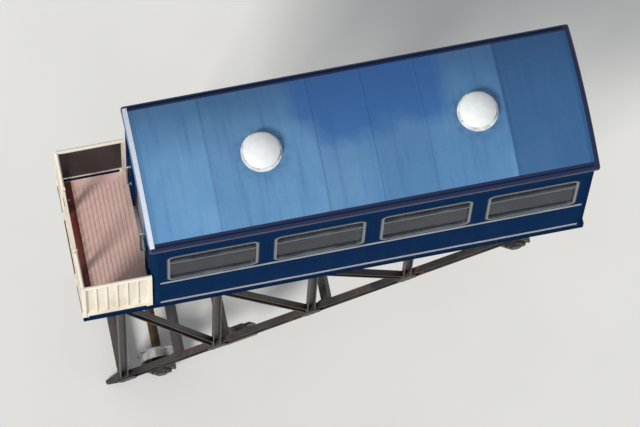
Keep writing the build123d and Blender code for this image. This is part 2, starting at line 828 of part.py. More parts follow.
# Draw gear: a bracket under a cross member that reaches uphill below the upper axle, to a fork
draw_members = [
    # x0, z0, x1, z1, depth
    (*on_slope(draw_along, chord_above - cross_depth / 2), *on_slope(draw_along, draw_above), draw_width),
    (*on_slope(draw_along - draw_width / 2, draw_above), *on_slope(draw_reach, draw_above), draw_thickness),
]
draw_x, draw_z = on_slope(draw_reach, draw_above)
draw_plane = Plane(
    origin=(draw_x, 0, draw_z),
    x_dir=(cos(slope), 0, sin(slope)),
    z_dir=(-sin(slope), 0, cos(slope)),
)
fork_slot = equaliser_depth / 2 + equaliser_gap
fork_half = fork_slot + draw_cheek
with BuildPart() as draw_gear:
    with BuildSketch(Plane.XZ.offset(-draw_width / 2)):
        bars(draw_members)
    extrude(amount=draw_width)
    with BuildSketch(draw_plane.offset(-fork_half)):
        SlotCenterToCenter(2 * draw_width, draw_width)
    extrude(amount=2 * fork_half)
    with BuildSketch(draw_plane.offset(-fork_slot)):
        with Locations((draw_width / 2 - fork_throat, 0)):
            Rectangle(2 * draw_width, 2 * draw_width)
    extrude(amount=2 * fork_slot, mode=Mode.SUBTRACT)
    with BuildSketch(draw_plane.offset(-fork_half)):
        Circle(draw_pin)
    extrude(amount=2 * fork_half)
save(draw_gear.part, "draw_gear")

# Equaliser beam: turns on the pin of the fork and carries the two rope sockets
with BuildPart() as equaliser:
    with BuildSketch(draw_plane.offset(-equaliser_depth / 2)):
        Circle(draw_width / 2)
        with Locations((0, equaliser_half + socket_radius), (0, -equaliser_half - socket_radius)):
            Circle(socket_radius)
        make_hull()
        with Locations(*((socket_radius + draw_width / 2, y) for y in (-equaliser_half, equaliser_half))):
            Rectangle(draw_width, 2 * socket_radius, mode=Mode.SUBTRACT)
        Circle(draw_pin + running_gap, mode=Mode.SUBTRACT)
    extrude(amount=equaliser_depth)
save(equaliser.part, "equaliser")

with BuildPart() as rope_sockets:
    for y in (-equaliser_half, equaliser_half):
        start_x, start_z = on_slope(draw_reach + socket_radius, draw_above)
        socket_plane = Plane(
            origin=(start_x, y, start_z),
            x_dir=(0, 1, 0),
            z_dir=(cos(slope), 0, sin(slope)),
        )
        with BuildSketch(socket_plane):
            Circle(socket_radius - socket_wall)
        extrude(amount=socket_length, taper=socket_taper)
        with BuildSketch(socket_plane):
            Circle(rope_radius)
        extrude(amount=socket_length, mode=Mode.SUBTRACT)
save(rope_sockets.part, "rope_sockets")

# Track brakes: jaws on each side of the rail head, hung from a cross member
jaw_inner = gauge / 2 - brake_jaw_gap - brake_jaw
jaw_outer = gauge / 2 + rail_head_width + brake_jaw_gap
brake_plane = Plane(
    origin=(on_slope(brake_along, 0)[0], 0, on_slope(brake_along, 0)[1]),
    x_dir=(cos(slope), 0, sin(slope)),
    z_dir=(-sin(slope), 0, cos(slope)),
)
with BuildSketch() as jaw_outline:
    Rectangle(brake_length, brake_jaw)
    chamfer(jaw_outline.vertices(), brake_bevel)
with BuildPart() as track_brakes:
    for side in (-1, 1):
        with BuildSketch(brake_plane.offset(-brake_below)):
            with Locations(*((0, side * (y + brake_jaw / 2)) for y in (jaw_inner, jaw_outer))):
                add(jaw_outline.sketch)
        extrude(amount=brake_below + brake_jaw_top)
        with BuildSketch(brake_plane.offset(brake_bridge_low)):
            with Locations((0, side * (jaw_inner + jaw_outer + brake_jaw) / 2)):
                Rectangle(brake_length * 0.6, jaw_outer - jaw_inner + brake_jaw)
        extrude(amount=brake_bridge_high - brake_bridge_low)
        with BuildSketch(brake_plane.offset(brake_bridge_high)):
            with Locations((0, side * (jaw_inner + jaw_outer + brake_jaw) / 2)):
                Rectangle(cross_depth, brake_hanger)
        extrude(amount=chord_above - cross_depth / 2 - brake_bridge_high)
save(track_brakes.part, "track_brakes")

# Buffers at the foot of the frame
buffer_plane = Plane(
    origin=(
        chord_low[0],
        0,
        chord_low[1],
    ),
    x_dir=(0, 1, 0),
    z_dir=(-cos(slope), 0, -sin(slope)),
)
with BuildPart() as buffers:
    with BuildSketch(buffer_plane):
        with Locations((frame_inner + frame_width / 2, 0), (-frame_inner - frame_width / 2, 0)):
            Rectangle(frame_width, chord_depth)
    extrude(amount=buffer_plate)
    with BuildSketch(buffer_plane.offset(buffer_plate)):
        with Locations((frame_inner + frame_width / 2, 0), (-frame_inner - frame_width / 2, 0)):
            Circle(buffer_radius)
    extrude(amount=buffer_length, taper=buffer_taper)
save(buffers.part, "buffers")
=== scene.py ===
# %% [markdown]
# # A cliff funicular car
# The car is a level saloon with an open end platform. It stands on a wedge of steel channels, because
# it works on a slope of 32.6 degrees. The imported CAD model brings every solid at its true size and
# place. This script gives those solids their finishes, adds the thin trim that CAD leaves out, and sets
# the floor, the light and the camera.

# %% Load the frame
import json
from math import asin, cos, radians, sin, sqrt

import bmesh
import bpy
from mathutils import Matrix, Vector


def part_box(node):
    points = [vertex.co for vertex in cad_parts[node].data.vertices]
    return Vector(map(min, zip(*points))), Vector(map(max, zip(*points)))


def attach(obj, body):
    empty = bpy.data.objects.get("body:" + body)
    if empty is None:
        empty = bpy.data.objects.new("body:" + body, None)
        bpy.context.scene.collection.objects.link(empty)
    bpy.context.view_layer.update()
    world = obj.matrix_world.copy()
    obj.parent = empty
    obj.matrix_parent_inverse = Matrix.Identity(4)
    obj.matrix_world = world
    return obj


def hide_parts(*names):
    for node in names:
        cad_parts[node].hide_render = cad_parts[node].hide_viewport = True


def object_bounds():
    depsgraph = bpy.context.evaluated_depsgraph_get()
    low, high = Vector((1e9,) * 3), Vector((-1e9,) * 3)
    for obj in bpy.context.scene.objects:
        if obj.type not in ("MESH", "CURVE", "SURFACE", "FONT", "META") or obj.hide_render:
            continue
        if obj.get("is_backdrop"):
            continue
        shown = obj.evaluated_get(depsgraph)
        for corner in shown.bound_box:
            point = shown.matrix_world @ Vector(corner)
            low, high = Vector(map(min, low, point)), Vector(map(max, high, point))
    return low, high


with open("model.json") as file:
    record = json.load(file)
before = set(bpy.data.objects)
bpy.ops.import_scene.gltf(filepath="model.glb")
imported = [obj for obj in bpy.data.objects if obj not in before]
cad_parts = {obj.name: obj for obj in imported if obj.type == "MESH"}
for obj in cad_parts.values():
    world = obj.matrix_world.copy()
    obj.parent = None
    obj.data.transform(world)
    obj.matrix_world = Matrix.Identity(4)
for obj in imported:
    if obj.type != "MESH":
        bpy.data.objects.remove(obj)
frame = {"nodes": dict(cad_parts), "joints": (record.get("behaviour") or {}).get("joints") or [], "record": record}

cad_low, cad_high = (Vector(corner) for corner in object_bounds())
slope = radians(32.6)
uphill = Vector((cos(slope), 0, sin(slope)))
off_slope = Vector((-sin(slope), 0, cos(slope)))
left = Vector((0, 1, 0))
up = Vector((0, 0, 1))
print("CAD box", [round(v, 3) for v in (*cad_low, *cad_high)])

# %% [markdown]
# ## Shapes for the trim
# Most trim is small and repeated: bolts, strips, plates and rings. A mesh could be filled by hand with
# lists of points, but operators are shorter and give closed shapes. Each helper wraps the operators that
# one kind of shape needs and puts it in place at once, so a finished object stays at the origin. The
# first few only say where things go.

# %% Places and turns
def vectors(box):
    """The two corners of a box as vectors."""
    return [Vector(corner) for corner in box]


def turned_to(first, second, third):
    """The turn that lays X, Y and Z along three directions."""
    return Matrix((first, second, third)).transposed().to_4x4()


def pointing(along):
    """The turn that points Z along a direction."""
    return along.to_track_quat("Z", "Y").to_matrix().to_4x4()


def spread(low, high, count):
    """Evenly spaced numbers from low to high."""
    return [low + (high - low) * n / (count - 1) for n in range(count)]


def four(u, v):
    """The four corners of an oblong, counted from its middle."""
    return [(a * u, b * v) for a in (-1, 1) for b in (-1, 1)]


# %% Boxes, pegs, bolts and rivets
def block(bm, corner, opposite):
    """A box between two opposite corners, given in any order."""
    low, high = (Vector([*map(pick, corner, opposite)]) for pick in (min, max))
    place = Matrix.Translation((low + high) / 2) @ Matrix.Diagonal((*(high - low), 1))
    return bmesh.ops.create_cube(bm, size=1, matrix=place)["verts"]


def tilted_block(bm, centre, turn, size):
    """A box of a given size about its centre, turned."""
    place = Matrix.Translation(centre) @ turn @ Matrix.Diagonal((*size, 1))
    return bmesh.ops.create_cube(bm, size=1, matrix=place)["verts"]


def peg(bm, foot, along, radius, height, sides=6, top=None):
    """A bolt head, pin or cap that stands on its foot and points along."""
    along = Vector(along).normalized()
    place = Matrix.Translation(Vector(foot) + along * height / 2) @ pointing(along)
    return bmesh.ops.create_cone(
        bm, cap_ends=True, segments=sides, radius1=radius,
        radius2=radius if top is None else top, depth=height, matrix=place)["verts"]


def bolt(bm, foot, along, radius):
    """A round washer with a six-sided head on it."""
    washer = radius * 0.25
    peg(bm, foot, along, radius * 1.45, washer, sides=10)
    peg(bm, Vector(foot) + Vector(along).normalized() * washer, along, radius, radius * 0.7)


def rivet(bm, foot, along, radius):
    """A low round head."""
    peg(bm, foot, along, radius, radius * 0.55, sides=7, top=radius * 0.45)


# %% [markdown]
# Sharp edges look like paper, so edges that catch the light are bevelled. A window gasket is a band of
# even width round a rounded opening. It starts as a box, its four corners are bevelled, its two large
# faces are taken away, and the wall that is left gets its thickness.

# %% Soft edges and rings
def edges_of(verts):
    """Every edge that ends in one of these points."""
    return {edge for vert in verts for edge in vert.link_edges}


def soften(bm, edges, offset, segments=1):
    """Bevels edges with a round profile and keeps the material of their faces."""
    return bmesh.ops.bevel(bm, geom=list(edges), offset=offset, segments=segments, profile=0.5,
                           affect="EDGES", material=-1)


def rounded_ring(bm, corner, opposite, across, radius, band):
    """A rounded band just inside the box between two corners, open along the axis named in across."""
    axis = "XYZ".index(across)
    half_depth = abs(opposite[axis] - corner[axis]) / 2
    upright = [e for e in edges_of(block(bm, corner, opposite))
               if abs(e.verts[0].co[axis] - e.verts[1].co[axis]) > half_depth]
    made = soften(bm, upright, radius, segments=6)
    faces = {face for vert in made["verts"] for face in vert.link_faces}
    for face in faces:
        face.normal_update()
    ends = [face for face in faces if abs(face.normal[axis]) > 0.9]
    ring_wall = [face for face in faces if face not in ends]
    bmesh.ops.delete(bm, geom=ends, context="FACES_ONLY")
    bmesh.ops.recalc_face_normals(bm, faces=ring_wall)
    bmesh.ops.solidify(bm, geom=ring_wall, thickness=band)


def hoop(bm, tube, place, middle, axis, turns):
    """A round bar bent to a ring: a small circle at its place is spun about an axis."""
    ring = bmesh.ops.create_circle(bm, cap_ends=False, radius=tube, segments=8, matrix=place)["verts"]
    bmesh.ops.spin(bm, geom=[*ring, *edges_of(ring)], cent=middle, axis=axis, angle=radians(360),
                   steps=turns, use_merge=True)


# %% [markdown]
# A grab handle is a bent round bar. A curve with a bevel could give it, but a disc that is extruded from
# point to point stays a plain mesh and closes its own ends.

# %% Bent bars and handles
def bar(bm, points, radius, sides=10):
    """A bent round bar: a disc is extruded from point to point and turned halfway at each bend.

    The discs at the bends stay inside the bar, where they can't be seen.
    """
    points = [Vector(point) for point in points]
    heading = facing = (points[1] - points[0]).normalized()
    place = Matrix.Translation(points[0]) @ pointing(heading)
    disc = bmesh.ops.create_circle(bm, cap_ends=True, radius=radius, segments=sides, matrix=place)
    face = disc["verts"][0].link_faces[0]
    for n in range(1, len(points)):
        made = bmesh.ops.extrude_face_region(bm, geom=[face])["geom"]
        face = [part for part in made if isinstance(part, bmesh.types.BMFace)][0]
        bmesh.ops.translate(bm, verts=face.verts, vec=points[n] - points[n - 1])
        ahead = (points[n + 1] - points[n]).normalized() if n + 1 < len(points) else heading
        wanted = (heading + ahead).normalized()
        turn = facing.rotation_difference(wanted).to_matrix()
        bmesh.ops.rotate(bm, cent=points[n], matrix=turn, verts=face.verts)
        facing, heading = wanted, ahead
    bmesh.ops.holes_fill(bm, edges=[e for e in bm.edges if e.is_boundary], sides=0)


def handle(bm, foot, end, away, reach=0.045, radius=0.011):
    """A grab handle: a bar whose two ends bend back to the wall that it stands away from."""
    foot, end, away = Vector(foot), Vector(end), Vector(away)
    run = (end - foot).normalized()
    bend = min(reach, (end - foot).length / 4)
    corner = ((0, 0), (reach - bend * 0.4, 0), (reach - bend * 0.1, 0.1), (reach, 0.4))
    rise = [foot + away * out + run * bend * share for out, share in corner]
    fall = [end + away * out - run * bend * share for out, share in reversed(corner)]
    bar(bm, rise + fall, radius)
    for point in (foot, end):
        peg(bm, point, away, radius * 2, radius * 0.5, sides=12)


# %% [markdown]
# Every piece ends the same way. Its doubles are merged, its normals are turned outwards, faces that
# meet at a slight angle are shaded smooth, and it is told which body of the model it rides on.

# %% Finish a piece
def piece(name, bm, finish, body="car", sharp=35):
    """Turns a bmesh into a named piece with its finish, riding on a body."""
    bmesh.ops.remove_doubles(bm, verts=bm.verts, dist=1e-6)
    bmesh.ops.recalc_face_normals(bm, faces=bm.faces)
    mesh = bpy.data.meshes.new(name)
    bm.to_mesh(mesh)
    bm.free()
    mesh.shade_smooth()
    mesh.set_sharp_from_angle(angle=radians(sharp))
    mesh.materials.append(finish.material)
    thing = bpy.data.objects.new(name, mesh)
    bpy.context.scene.collection.objects.link(thing)
    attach(thing, body)
    print(name, len(mesh.polygons), "faces")
    return thing


# %% [markdown]
# ## Finishes
# The finishes are procedural, so they need no image and stay sharp at any distance. A node tree could
# be wired by hand, node by node, but every pattern here needs the same few kinds of node. So a small
# class adds a node, fills its inputs and gives back what comes out of it.

# %% Colours and nodes
def srgb(red, green, blue):
    """A colour as a paint card gives it, from 0 to 255, as the linear colour that the shader wants."""
    def linear(value):
        value /= 255
        return value / 12.92 if value <= 0.04045 else ((value + 0.055) / 1.055) ** 2.4
    return (linear(red), linear(green), linear(blue), 1)


class Nodes:
    """A node tree with short ways to add to it."""

    def __init__(self, tree):
        self.tree = tree

    def put(self, value, socket):
        """Links another node's output to a socket, or sets a number or a colour on it."""
        if isinstance(value, bpy.types.NodeSocket):
            self.tree.links.new(value, socket)
        else:
            socket.default_value = value

    def add(self, kind, inputs, **settings):
        """A node with its settings and its inputs, which go by name or by number."""
        node = self.tree.nodes.new("ShaderNode" + kind)
        for name, value in settings.items():
            setattr(node, name, value)
        for name, value in inputs.items():
            self.put(value, node.inputs[name])
        return node

    def math(self, kind, first, second=0.0):
        """One step of arithmetic."""
        return self.add("Math", {0: first, 1: second}, operation=kind).outputs[0]

    def times(self, first, second):
        """One value times the other."""
        return self.math("MULTIPLY", first, second)

    def distance(self, first, second):
        """How far a point is from nought, by its two coordinates."""
        return self.math("SQRT", self.math("ADD", self.times(first, first), self.times(second, second)))

    def grey(self, value, low, high, dark=0.0, light=1.0):
        """Turns values between low and high into dark to light."""
        ranges = {"Value": value, "From Min": low, "From Max": high, "To Min": dark, "To Max": light}
        return self.add("MapRange", ranges).outputs["Result"]

    def steps(self, value, stops, kind="LINEAR"):
        """A colour ramp with its stops in order."""
        node = self.add("ValToRGB", {"Fac": value})
        ramp = node.color_ramp
        ramp.interpolation = kind
        while len(ramp.elements) < len(stops):
            ramp.elements.new(1)
        for element, (position, colour) in zip(ramp.elements, stops):
            element.position, element.color = position, colour
        return node.outputs["Color"]

    def mix(self, share, under, over):
        """Lays one colour over another where share is high; this node's colours are inputs 6 and 7."""
        return self.add("Mix", {0: share, 6: under, 7: over}, data_type="RGBA").outputs[2]


# %% [markdown]
# All patterns read Object coordinates: every mesh has its place in its vertices, so the metres of the
# model are the metres of the pattern. What is even over a surface is set on the shader's own socket.

# %% A finish and its patterns
class Finish(Nodes):
    """A new material: the even values go on its shader, and patterns vary the rest."""

    def __init__(self, name, roughness, metallic=0.0, coat=0.0, coat_roughness=0.1, shine=0.5):
        self.material = bpy.data.materials.new(name)
        self.material.use_nodes = True
        super().__init__(self.material.node_tree)
        self.shader = self.tree.nodes["Principled BSDF"]
        self.even({"Roughness": roughness, "Metallic": metallic, "Coat Weight": coat,
                   "Coat Roughness": coat_roughness, "Specular IOR Level": shine})

    def even(self, values):
        """Sets what is the same all over the surface."""
        for socket, value in values.items():
            self.shader.inputs[socket].default_value = value

    def place(self, stretch=(1, 1, 1), shift=(0, 0, 0)):
        """Object coordinates, moved, and squeezed or drawn out along an axis."""
        coords = self.add("TexCoord", {}).outputs["Object"]
        return self.add("Mapping", {"Vector": coords, "Scale": stretch, "Location": shift}).outputs[0]

    def axes(self, vector=None):
        """The three coordinates of a point, apart."""
        return self.add("SeparateXYZ", {0: vector or self.place()}).outputs[:]

    def noise(self, scale, detail=4, stretch=(1, 1, 1), distortion=0.0):
        """Cloudy noise; scale counts its blobs in a metre."""
        inputs = {"Vector": self.place(stretch), "Scale": scale, "Detail": detail, "Distortion": distortion}
        return self.add("TexNoise", inputs).outputs["Fac"]

    def clouds(self, scale, detail, low, high, stretch=(1, 1, 1)):
        """Noise with its contrast drawn out, from nought at low to one at high."""
        return self.grey(self.noise(scale, detail, stretch), low, high)

    def show(self, colour, roughness=None):
        """Gives the surface its colour, and its roughness where that varies."""
        self.put(colour, self.shader.inputs["Base Color"])
        if roughness:
            self.put(roughness, self.shader.inputs["Roughness"])

    def bump(self, height, distance, strength=0.5):
        """Raises the surface by height times distance, in metres."""
        node = self.add("Bump", {"Height": height, "Distance": distance, "Strength": strength})
        self.put(node.outputs["Normal"], self.shader.inputs["Normal"])


# %% [markdown]
# Walls and roof have one paint outside and another inside, but each is one solid. The finish tells the
# two apart by place: a point is indoors when it lies between the inner faces of the walls and above the
# floor. The step sits 3 mm inside the metal, so that the edges of doors and windows keep their paint.

# %% Indoors or outdoors
floor_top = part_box("saloon_floor")[1][2]
into_metal = 0.003
wall_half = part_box("side_wall_left")[0][1] + into_metal
inner_x = [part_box("end_wall_lower")[1][0] - into_metal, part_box("end_wall_upper")[0][0] + into_metal]


def indoors(look):
    """One inside the saloon, nought outside it."""
    x, y, z = look.axes()
    across = look.math("LESS_THAN", look.math("ABSOLUTE", y), wall_half)
    along = look.times(look.math("GREATER_THAN", x, inner_x[0]), look.math("LESS_THAN", x, inner_x[1]))
    above = look.math("GREATER_THAN", z, floor_top - 0.002)
    return look.times(look.times(across, above), along)


print("indoors from", [round(v, 3) for v in inner_x], "and half width", round(wall_half, 3))

# %% [markdown]
# The roof is sheet metal in a middle blue that the sun has chalked in patches. Its sheets were painted one
# by one, so each has its own tone: a ramp with hard steps along the car gives it, and the same ramp paints
# light on the sheets at the low end and shade on the uphill ones, which are the darkest. Rain runs from the
# crown to both edges and leaves streaks across the car, a noise that is squeezed along the car. The far
# sheets between the vents are a deeper blue as painted shade, and the whole far half is painted darker as
# shade. Along both edges and across the uphill end a navy band a hand wide is the side's paint turning the
# corner, widened as painted shade at the eaves. Indoors the same sheets are a pale ceiling.

# %% Roof sheets
roof_low, roof_high = vectors(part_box("roof"))
roof_length = roof_high.x - roof_low.x
roof_half = roof_high.y
roof_rise = 0.15
arch = (roof_half ** 2 + roof_rise ** 2) / (2 * roof_rise)
arch_middle = roof_high.z - arch
laps = (0.02, 0.16, 0.40, 0.52, 0.64, 0.82, 0.98)
sheet_tones_light_and_shade = (0.24, 0.0, 0.17, 0.3, 0.38, 0.3, 0.78, 0.9)
vent_shares = (0.28, 0.76)
edge_navy_and_shade_band = 0.078
end_navy_and_shade_band = 0.055
band_edge = 0.003
print("roof", [round(v, 3) for v in (*roof_low, *roof_high)])

# %% Roof paint
look = roof_blue = Finish("roof_blue_paint", 0.42, shine=0.3)
x, y, z = look.axes()
share = look.grey(x, roof_low.x, roof_high.x)
chalk = look.grey(look.noise(1.1, 5, distortion=0.6), 0.45, 0.75)
paint = look.mix(look.times(chalk, 0.75), srgb(94, 146, 194), srgb(122, 170, 210))
streaks = look.clouds(1.0, 4, 0.5, 0.72, stretch=(16, 1.1, 1))
paint = look.mix(look.times(streaks, 0.4), paint, srgb(64, 114, 164))
paint = look.mix(look.times(look.clouds(22, 5, 0.35, 0.7), 0.14), paint, srgb(136, 160, 182))
# The tone ramp gives each sheet its own tone, and it also paints light on the low-end sheets and shade on the
# uphill ones.
tone_light_and_shade_stops = [(lap, (tone, tone, tone, 1)) for lap, tone in zip((0, *laps), sheet_tones_light_and_shade)]
paint = look.mix(look.steps(share, tone_light_and_shade_stops, "CONSTANT"), paint, srgb(26, 74, 124))
# Painted shade: the far half of the roof is darker, turned away from the light.
far_half_shade = look.grey(look.math("ADD", y, look.times(look.noise(1.5, 3), 0.3)), 0.2, 0.8, 0, 0.5)
paint = look.mix(far_half_shade, paint, srgb(30, 72, 118))

# %% Painted shade between the vents, grime round the vents, edge bands and ceiling
# Painted shade: the far sheets between the vents are a deeper blue.
between_vents = look.times(look.grey(share, 0.34, 0.38), look.grey(share, 0.68, 0.72, 1, 0))
far_side = look.grey(look.math("ADD", y, look.noise(2, 3)), 0.42, 0.72)
far_vent_gap_shade = look.times(look.times(between_vents, far_side), 0.72)
paint = look.mix(far_vent_gap_shade, paint, srgb(38, 92, 160))
for vent_share in vent_shares:
    from_vent = look.distance(look.math("SUBTRACT", x, roof_low.x + roof_length * vent_share), y)
    ring = look.times(look.grey(from_vent, 0.2, 0.34, 0.55, 0), look.clouds(12, 4, 0.35, 0.6))
    paint = look.mix(ring, paint, srgb(52, 84, 116))
# Navy bands along both edges and across the uphill end: partly the side's paint turning the corner, partly painted
# shade at the eaves.
edge = look.grey(look.math("ABSOLUTE", y), roof_half - edge_navy_and_shade_band, roof_half - edge_navy_and_shade_band + band_edge)
end = look.grey(x, roof_high.x - end_navy_and_shade_band, roof_high.x - end_navy_and_shade_band + band_edge)
paint = look.mix(look.math("MAXIMUM", edge, end), paint, srgb(17, 28, 66))
from_middle = look.distance(y, look.math("SUBTRACT", z, arch_middle))
ceiling = look.times(indoors(look), look.math("LESS_THAN", from_middle, arch - 0.006))
look.show(look.mix(ceiling, paint, srgb(224, 220, 206)), look.grey(chalk, 0, 1, 0.36, 0.55))
look.bump(look.noise(3.0, 2), 0.004)

# %% [markdown]
# The body is navy paint that years outdoors have dulled. A clear coat would mirror the pale sky and
# turn the sides grey, so this paint has no shine and a middling roughness, and its colour stays deep.
# Dust rises from the floor line, rain leaves upright streaks, and a few chips show. Indoors the same
# walls are lined with varnished boards, whose grooves come from a distance that runs to and fro between
# nought and half a board.

# %% Body, railing and headstock paint
def matchboard(look):
    """Varnished boards with dark grooves, upright on the sides and on the ends alike."""
    x, y, _ = look.axes()
    groove = look.grey(look.math("PINGPONG", look.math("ADD", x, y), 0.05), 0.0015, 0.004, 1, 0)
    grain = look.noise(6, 5, stretch=(9, 9, 0.35), distortion=1.2)
    boards = look.steps(grain, [(0.3, srgb(92, 58, 34)), (0.5, srgb(128, 86, 52)), (0.7, srgb(152, 108, 68))])
    return look.mix(groove, boards, srgb(44, 28, 18))


def enamel(name, colour, dust, chip, shine, lined=False):
    """Brushed enamel with a dusty foot, rain streaks, fine dirt and a few chips."""
    look = Finish(name, 0.5, shine=shine)
    foot = look.grey(look.axes()[2], floor_top - 0.1, floor_top + 0.5, 0.7, 0.08)
    paint = look.mix(look.times(look.clouds(7, 7, 0.4, 0.8, stretch=(1, 1, 0.5)), foot), colour, dust)
    runs = look.grey(look.noise(1.6, 4, stretch=(14, 14, 0.45)), 0.52, 0.78, 0, 0.22)
    paint = look.mix(runs, paint, dust)
    paint = look.mix(look.clouds(38, 3, 0.735, 0.75), paint, chip)
    if lined:
        paint = look.mix(indoors(look), paint, matchboard(look))
    look.show(paint, look.grey(look.noise(9, 4), 0.3, 0.7, 0.42, 0.6))
    look.bump(look.noise(60, 2), 0.0008, 0.2)
    return look


body_blue = enamel("body_navy_enamel", srgb(15, 41, 76), srgb(34, 52, 84), srgb(44, 62, 100), 0.0, lined=True)
strip_white = enamel("strip_white_enamel", srgb(220, 226, 240), srgb(168, 174, 190), srgb(130, 140, 168), 0.3)
railing_cream = enamel("railing_cream_enamel", srgb(240, 232, 216), srgb(178, 166, 148), srgb(130, 96, 70),
                       0.4)
headstock_red = enamel("headstock_red_enamel", srgb(104, 32, 26), srgb(96, 76, 66), srgb(60, 40, 36), 0.35)

# %% [markdown]
# The vents are white enamel on pressed steel. Grime gathers in their rims, so the dirt is a noise on
# top of a ramp that follows the height. The lamps are opal plastic: white with a soft, slightly lit
# look, which subsurface light gives.

# %% Vent and lamp white
vent_foot, vent_top = (corner.z for corner in vectors(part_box("roof_vents")))
look = vent_white = Finish("vent_white_enamel", 0.35, coat=0.3)
grime = look.clouds(14, 6, 0.4, 0.75)
dirt = look.times(grime, look.grey(look.axes()[2], vent_top - 0.12, vent_top - 0.05, 0.9, 0.14))
look.show(look.mix(dirt, srgb(238, 242, 244), srgb(150, 146, 134)), look.grey(grime, 0, 1, 0.3, 0.55))
look.bump(look.noise(40, 2), 0.001, 0.3)

look = lamp_white = Finish("lamp_opal", 0.3)
look.even({"Subsurface Weight": 0.3, "Subsurface Radius": (0.02, 0.02, 0.02)})
look.show(look.mix(look.clouds(12, 3, 0.3, 0.7), srgb(244, 243, 236), srgb(232, 230, 216)))

# %% [markdown]
# The underframe is thick black paint over rolled steel. Rust starts where the paint breaks, and dust
# settles on it. Two noises share the work: a large one says where rust may be, a small one says how it
# looks there.

# %% Frame paint and steel
def weathered(name, paint_colour, rust_low, rust_high, roughness=0.55):
    """Paint with rust where a large and a small noise are both high."""
    look = Finish(name, roughness)
    grain = look.clouds(26, 6, rust_low, rust_high)
    rust = look.times(look.clouds(2.2, 4, 0.48, 0.62), grain)
    paint = look.mix(look.grey(look.noise(5, 5), 0.4, 0.8, 0.0, 0.45), paint_colour, srgb(86, 80, 72))
    browns = look.steps(look.noise(60, 5), [(0.3, srgb(74, 38, 22)), (0.7, srgb(132, 76, 44))])
    look.show(look.mix(rust, paint, browns), look.grey(rust, 0, 1, roughness - 0.1, 0.88))
    look.bump(look.math("ADD", grain, look.noise(90, 3)), 0.0015, 0.4)
    return look


frame_black = weathered("frame_black_paint", srgb(34, 34, 37), 0.5, 0.7)
forged_steel = weathered("forged_steel", srgb(104, 100, 95), 0.42, 0.66, 0.5)

# %% [markdown]
# A wheel is dark where nothing touches it and bright where it rolls. The distance from the axle tells
# the two apart, so the mapping moves the axle's middle to zero, and the bright metal starts at the
# tread. Each wheelset has its own middle, so each has its own copy of the finish.

# %% Wheel steel
tread_radius = 0.21


def wheel_steel(name, middle):
    """Steel that rolling has polished from the tread outwards."""
    look = Finish(name, 0.5, metallic=0.6)
    x, _, z = look.axes(look.place(shift=(-middle[0], 0, -middle[2])))
    bright = look.grey(look.distance(x, z), tread_radius - 0.009, tread_radius - 0.004)
    web = look.steps(look.noise(9, 6), [
        (0.3, srgb(52, 44, 38)), (0.55, srgb(84, 66, 52)), (0.8, srgb(122, 84, 58))])
    polish = look.steps(look.noise(30, 4, stretch=(1, 6, 1)), [
        (0.3, srgb(150, 150, 150)), (0.7, srgb(196, 196, 194))])
    look.show(look.mix(bright, web, polish), look.grey(bright, 0, 1, 0.66, 0.24))
    look.bump(look.noise(70, 4), 0.001, 0.4)
    return look


axles = {j["child"]: j["pos_m"] for j in frame["joints"] if j["child"].startswith("wheelset")}
wheel_finish = {name: wheel_steel(name + "_steel", middle) for name, middle in axles.items()}
print("axles", axles)

# %% [markdown]
# Aluminium window frames and doors are brushed along their length. The brushing is a noise that is
# squeezed hard along one axis, so it turns into fine lines, and it drives the roughness and the bump
# more than the colour. Window frames stand in the rain and go dull, doors are wiped and stay bright.
# Tubes are drawn, not brushed, so they have a steel with soft clouds.

# %% Aluminium and steel tube
def brushed(name, metallic, roughness, low, high, rough_range):
    """Aluminium with fine lines."""
    look = Finish(name, roughness, metallic)
    lines = look.noise(6, 4, stretch=(1, 1, 40))
    look.show(look.steps(lines, [(0.3, low), (0.7, high)]), look.grey(lines, 0.3, 0.7, *rough_range))
    look.bump(lines, 0.0006, 0.3)
    return look


aluminium = brushed("brushed_aluminium", 0.9, 0.36, srgb(150, 154, 160), srgb(180, 185, 190), (0.26, 0.42))
dull_aluminium = brushed("weathered_aluminium", 0.85, 0.42, srgb(112, 117, 124), srgb(140, 145, 151),
                         (0.34, 0.5))

look = satin_steel = Finish("satin_steel_tube", 0.3, metallic=0.95)
worn = look.clouds(5, 5, 0.35, 0.7)
look.show(look.mix(worn, srgb(186, 188, 190), srgb(150, 150, 150)), look.grey(worn, 0, 1, 0.22, 0.42))
look.bump(look.noise(90, 3), 0.0003, 0.3)

# %% [markdown]
# The glass is a dark tint that lets half the light through by its alpha, because refraction in thin
# panes would only cost time, and it has faint smears that run down. Rubber is nearly black, and wear
# turns it grey in patches.

# %% Glass and rubber
look = window_glass = Finish("tinted_glass", 0.04, shine=0.1)
look.even({"Alpha": 0.5, "IOR": 1.5})
smears = look.clouds(7, 5, 0.4, 0.8, stretch=(1, 1, 0.4))
look.show(look.mix(smears, srgb(16, 28, 44), srgb(40, 54, 70)), look.grey(smears, 0, 1, 0.03, 0.12))

look = rubber = Finish("black_rubber", 0.8)
look.show(look.mix(look.clouds(18, 6, 0.35, 0.75), srgb(22, 22, 23), srgb(58, 56, 54)))
look.bump(look.noise(120, 4), 0.0008)

# %% [markdown]
# The bench slats are varnished hardwood. Grain is a noise drawn far out along the slat and bent a
# little, with a finer one for the pores. The varnish is a clear coat. The platform has a pinkish
# non-slip paint: bits of grit under the paint, and a paler path where feet have worn it. The saloon has
# brown sheet flooring. Both are dark from below, where only the primer shows.

# %% Wood and deck paint
look = bench_wood = Finish("varnished_slats", 0.45, coat=0.7, coat_roughness=0.15)
grain = look.noise(5, 5, stretch=(0.35, 9, 9), distortion=1.4)
pores = look.noise(18, 4, stretch=(0.3, 14, 14))
wood = look.steps(grain, [(0.3, srgb(104, 56, 26)), (0.5, srgb(150, 90, 44)), (0.7, srgb(184, 122, 66))])
look.show(look.mix(look.grey(pores, 0.6, 0.72, 0.0, 0.5), wood, srgb(70, 36, 18)))
look.bump(pores, 0.0008, 0.4)


